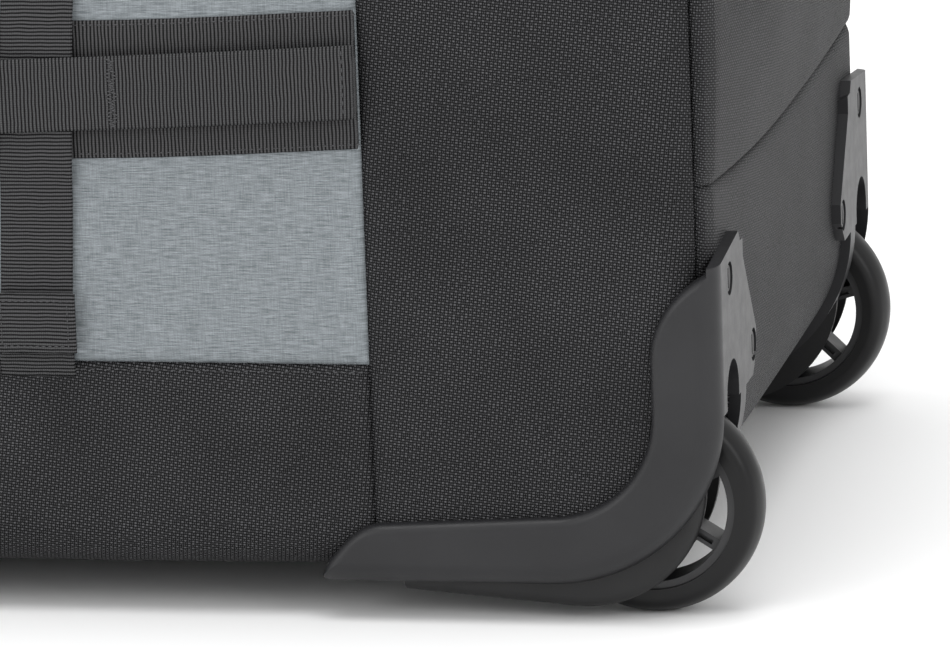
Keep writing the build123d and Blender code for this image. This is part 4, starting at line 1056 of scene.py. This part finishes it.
def round_off(piece, width, segments=3):
    """Rounds a piece's hard edges."""
    soft = piece.modifiers.new("round_edges", "BEVEL")
    soft.width = width
    soft.segments = segments
    soft.limit_method = "ANGLE"
    return piece


# The floor is a thin pad over the handle's tubes, on two foam rails.
low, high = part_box("floor_lining")
pad_t, rail_in, rail_w = 5 * MM, 34 * MM, 28 * MM
bm = new_bmesh()
box_of(bm, low.x, high.x, low.y, high.y, high.z - pad_t, high.z)
for v in bm.verts:
    if v.co.z > high.z - 1 * MM:
        t = max(abs(v.co.x / high.x), abs(v.co.y / high.y))
        v.co.z += (0.8 * wave(v.co.x * 18, v.co.y * 22, 51) - 0.6) * MM * (1 - t**6)
for side in (-1, 1):
    y = side * (high.y - rail_in)
    box_of(bm, low.x + 20 * MM, high.x - 60 * MM, y - rail_w / 2, y + rail_w / 2, low.z, high.z - pad_t)
floor_pad = make_piece("floor_pad", bm, lining, "case", ["floor_lining"])
round_off(floor_pad, 1.5 * MM)

# The sleeve is an open-topped pocket of padded lining against the far wall, with a strap over its mouth.
low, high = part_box("laptop_sleeve")
pad_t, strap_t = 5 * MM, 1.8 * MM
front = low.y + strap_t
pocket_top = high.z - strap_t
bm = new_bmesh()
box_of(bm, low.x, high.x, front, front + pad_t, low.z, pocket_top)
for v in bm.verts:
    if v.co.y < front + 1 * MM:
        a, b = 2 * v.co.x / (high.x - low.x), 2 * (v.co.z - low.z) / (pocket_top - low.z) - 1
        v.co.y += (1.2 * max(abs(a), abs(b)) ** 4 + 0.3 * wave(v.co.x * 22, v.co.z * 25, 57)) * MM
for side in (-1, 1):
    box_of(bm, side * (high.x - pad_t), side * high.x, front + pad_t, high.y, low.z, pocket_top)
box_of(bm, low.x + pad_t, high.x - pad_t, front + pad_t, high.y, low.z, low.z + pad_t)
sleeve = make_piece("sleeve_pocket", bm, lining, "case", ["laptop_sleeve"], merge=False)
round_off(sleeve, 1.2 * MM)
bm = new_bmesh()
strap_w, strap_drop = 28 * MM, 58 * MM
down_front, over_mouth = even(pocket_top - strap_drop, pocket_top), even(front - strap_t, high.y)
strap(bm, down_front, strap_w, lambda u, v: Vector((v, front - strap_t, u)), facing(0, -1, 0))
strap(bm, over_mouth, strap_w, lambda u, v: Vector((v, u, high.z)), facing(0, 0, 1))
web_piece("sleeve_strap", bm, strap_t - 0.1 * MM)

# The lid's pocket is knitted mesh, bound at its edge and gathered a little where its mouth is elastic.
low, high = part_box("lid_mesh_pocket")


def on_mesh(u, v):
    """A place on the pocket, which has round corners."""
    mid = (low.y + high.y) / 2
    ax, ay = rounded(abs(u), abs(v - mid), high.x, (high.y - low.y) / 2, 24 * MM)
    gather = 0.5 * MM * sin(u * 420) * max(0, 1 - (high.y - v) / (30 * MM))
    return Vector((ax if u > 0 else -ax, mid + (ay if v > mid else -ay), low.z + 0.6 * MM + gather))


bm = new_bmesh()
cut(bm, even(low.x, high.x, 4 * MM), even(low.y, high.y, 8 * MM), on_mesh, outward=facing(0, 0, -1))
make_piece("mesh_pocket", bm, mesh_knit, "lid", ["lid_mesh_pocket"], thick=0.6 * MM)


# ---- stiffening boards
# Polyethylene sheet, extruded black with a fine haircell emboss and cut to size: one under the floor and
# one in each end. It looks dull black with a leathery grain.
def moulded(name, dark, light, roughness, grit, relief, ior=1.49, specular=0.5):
    """A moulded plastic: grain from the mould, a cloudy tone, and scuffs that dull it.

    A mould's grit is a few tenths of a millimetre and is drawn coarser so that it shows.
    """
    material, tree, bsdf = new_material(name, IOR=ior, Specular_IOR_Level=specular)
    place = add(tree, "ShaderNodeTexCoord").outputs["Object"]
    cloud = add(tree, "ShaderNodeTexNoise", {"Vector": place, "Scale": 30.0, "Detail": 5.0})
    tint = add(tree, "ShaderNodeValToRGB", {0: cloud}, stops=((0.3, dark), (0.7, light)))
    worn = {"Vector": place, "Scale": 140.0, "Detail": 6.0, "Roughness": 0.7}
    scuffs = add(tree, "ShaderNodeTexNoise", worn)
    dull = {"Value": scuffs, "From Min": 0.35, "From Max": 0.7}
    dull.update({"To Min": roughness - 0.03, "To Max": roughness + 0.05})
    gloss = add(tree, "ShaderNodeMapRange", dull)
    grain = add(tree, "ShaderNodeTexNoise", {"Vector": place, "Scale": 1 / grit, "Detail": 2.0})
    bump = add(tree, "ShaderNodeBump", {"Height": grain, "Strength": 0.5, "Distance": relief})
    onto_shader(tree, bsdf, Base_Color=tint, Roughness=gloss, Normal=bump)
    return material


def finish_nodes(material, *names):
    """Gives CAD nodes their finish."""
    for name in names:
        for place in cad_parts[name].material_slots:
            place.material = material


haircell = moulded("haircell_polyethylene", "#0E0E0F", "#1A1A1B", 0.5, 1.2 * MM, 0.12 * MM)
finish_nodes(haircell, "base_board", "end_boards")

# ---- corner guards, feet, pads and runners
# Injection-moulded polypropylene, dark grey with a fine satin grain from the mould. Screws, whose
# heads show, hold the guards and the runners on.
polypropylene = moulded(
    "satin_polypropylene", "#1B1B1D", "#232325", 0.42, 0.7 * MM, 0.05 * MM, specular=0.4
)
finish_nodes(polypropylene, "corner_guard_near", "corner_guard_far")
finish_nodes(polypropylene, "front_feet", "stand_pads", "base_runners")

# ---- wheel housings, bezel and tube bracket
# Injection-moulded glass-filled nylon, blacker than the guards and with a coarser, duller grain from
# the fibres at its surface.
filled_nylon = moulded(
    "glass_filled_nylon", "#0D0D0E", "#171718", 0.5, 0.9 * MM, 0.08 * MM, ior=1.53, specular=0.35
)
finish_nodes(filled_nylon, "wheel_housing_near", "wheel_housing_far", "handle_bezel", "tube_end_bracket")

# ---- wheels
# Cast polyurethane tyres, near black and half glossy, on moulded nylon cores; the cores are a shade
# lighter and satin.
polyurethane = moulded(
    "cast_polyurethane", "#060607", "#0E0E0F", 0.36, 1.6 * MM, 0.04 * MM, ior=1.5, specular=0.3
)
finish_nodes(polyurethane, "tyre_near", "tyre_far")
core_nylon = moulded("moulded_nylon_core", "#151517", "#212123", 0.42, 0.8 * MM, 0.05 * MM, ior=1.53)
finish_nodes(core_nylon, "wheel_core_near", "wheel_core_far")


# ---- bearings, axles and screws
# Ground bearing steel, zinc-plated spacers and lock pins, and black-oxide bolts, nuts and screws.
# Ground metal has a finer grain than plated or headed metal; all of it is drawn coarser to show.
def metal(name, dark, light, roughness, grain_mm, stretch=(1, 1, 1)):
    """A metal whose tone and roughness follow the lines left by its making."""
    material, tree, bsdf = new_material(name, Metallic=1.0)
    place = add(tree, "ShaderNodeTexCoord").outputs["Object"]
    lines = add(tree, "ShaderNodeMapping", {"Vector": place, "Scale": stretch})
    fine = {"Vector": lines, "Scale": 1 / (grain_mm * MM), "Detail": 3.0}
    noise = add(tree, "ShaderNodeTexNoise", fine)
    tint = add(tree, "ShaderNodeValToRGB", {0: noise}, stops=((0.0, dark), (1.0, light)))
    rough = {"Value": noise, "To Min": roughness - 0.07, "To Max": roughness + 0.1}
    gloss = add(tree, "ShaderNodeMapRange", rough)
    bump = add(tree, "ShaderNodeBump", {"Height": noise, "Strength": 0.15, "Distance": 0.02 * MM})
    onto_shader(tree, bsdf, Base_Color=tint, Roughness=gloss, Normal=bump)
    return material


bearing_steel = metal("ground_bearing_steel", "#A8ABAF", "#D4D6D8", 0.22, 0.6)
zinc_plate = metal("zinc_plated_steel", "#8F939A", "#BFC3C8", 0.35, 2.5)
black_oxide = metal("black_oxide_steel", "#161617", "#2C2C2E", 0.42, 1.5)
finish_nodes(bearing_steel, "bearing_inner_races", "bearing_balls")
finish_nodes(bearing_steel, "bearing_outer_races_near", "bearing_outer_races_far")
finish_nodes(zinc_plate, "axle_spacers", "lock_pin_near", "lock_pin_far")
finish_nodes(black_oxide, "axle_bolts", "axle_nuts", "guard_screws", "runner_screws")

# ---- pull handle
# Extruded aluminium tubes, anodised grey with drawing lines along them; a grip moulded in soft
# thermoplastic rubber, a harder glossy button, and acetal rods and guides inside.
anodised = metal("anodised_aluminium", "#6E7277", "#8E9297", 0.34, 1.0, (0.03, 1, 1))
finish_nodes(anodised, "fixed_tubes", "sliding_tubes")
soft_rubber = moulded(
    "soft_thermoplastic_rubber", "#0C0C0D", "#151516", 0.62, 0.8 * MM, 0.07 * MM, specular=0.35
)
polished_abs = moulded("polished_abs", "#202023", "#29292C", 0.25, 2.0 * MM, 0.01 * MM, ior=1.53)
acetal = moulded("natural_acetal", "#C9C7BF", "#DAD8D1", 0.35, 1.0 * MM, 0.02 * MM)
finish_nodes(soft_rubber, "handle_grip")
finish_nodes(polished_abs, "release_button")
finish_nodes(acetal, "push_rods", "pin_guides")

# ---- zip sliders and pulls
# Die-cast zinc sliders, painted gunmetal with a faint orange peel, and pulls moulded in rubbery PVC,
# which look matt and a little greasy.
gunmetal = metal("painted_zinc_casting", "#242527", "#3B3C3F", 0.36, 1.2)
finish_nodes(gunmetal, "zip_slider_left", "zip_slider_right")
rubbery_pvc = moulded("moulded_pvc_pull", "#111112", "#1C1C1D", 0.48, 0.8 * MM, 0.05 * MM)
finish_nodes(rubbery_pvc, "zip_pull_left", "zip_pull_right")
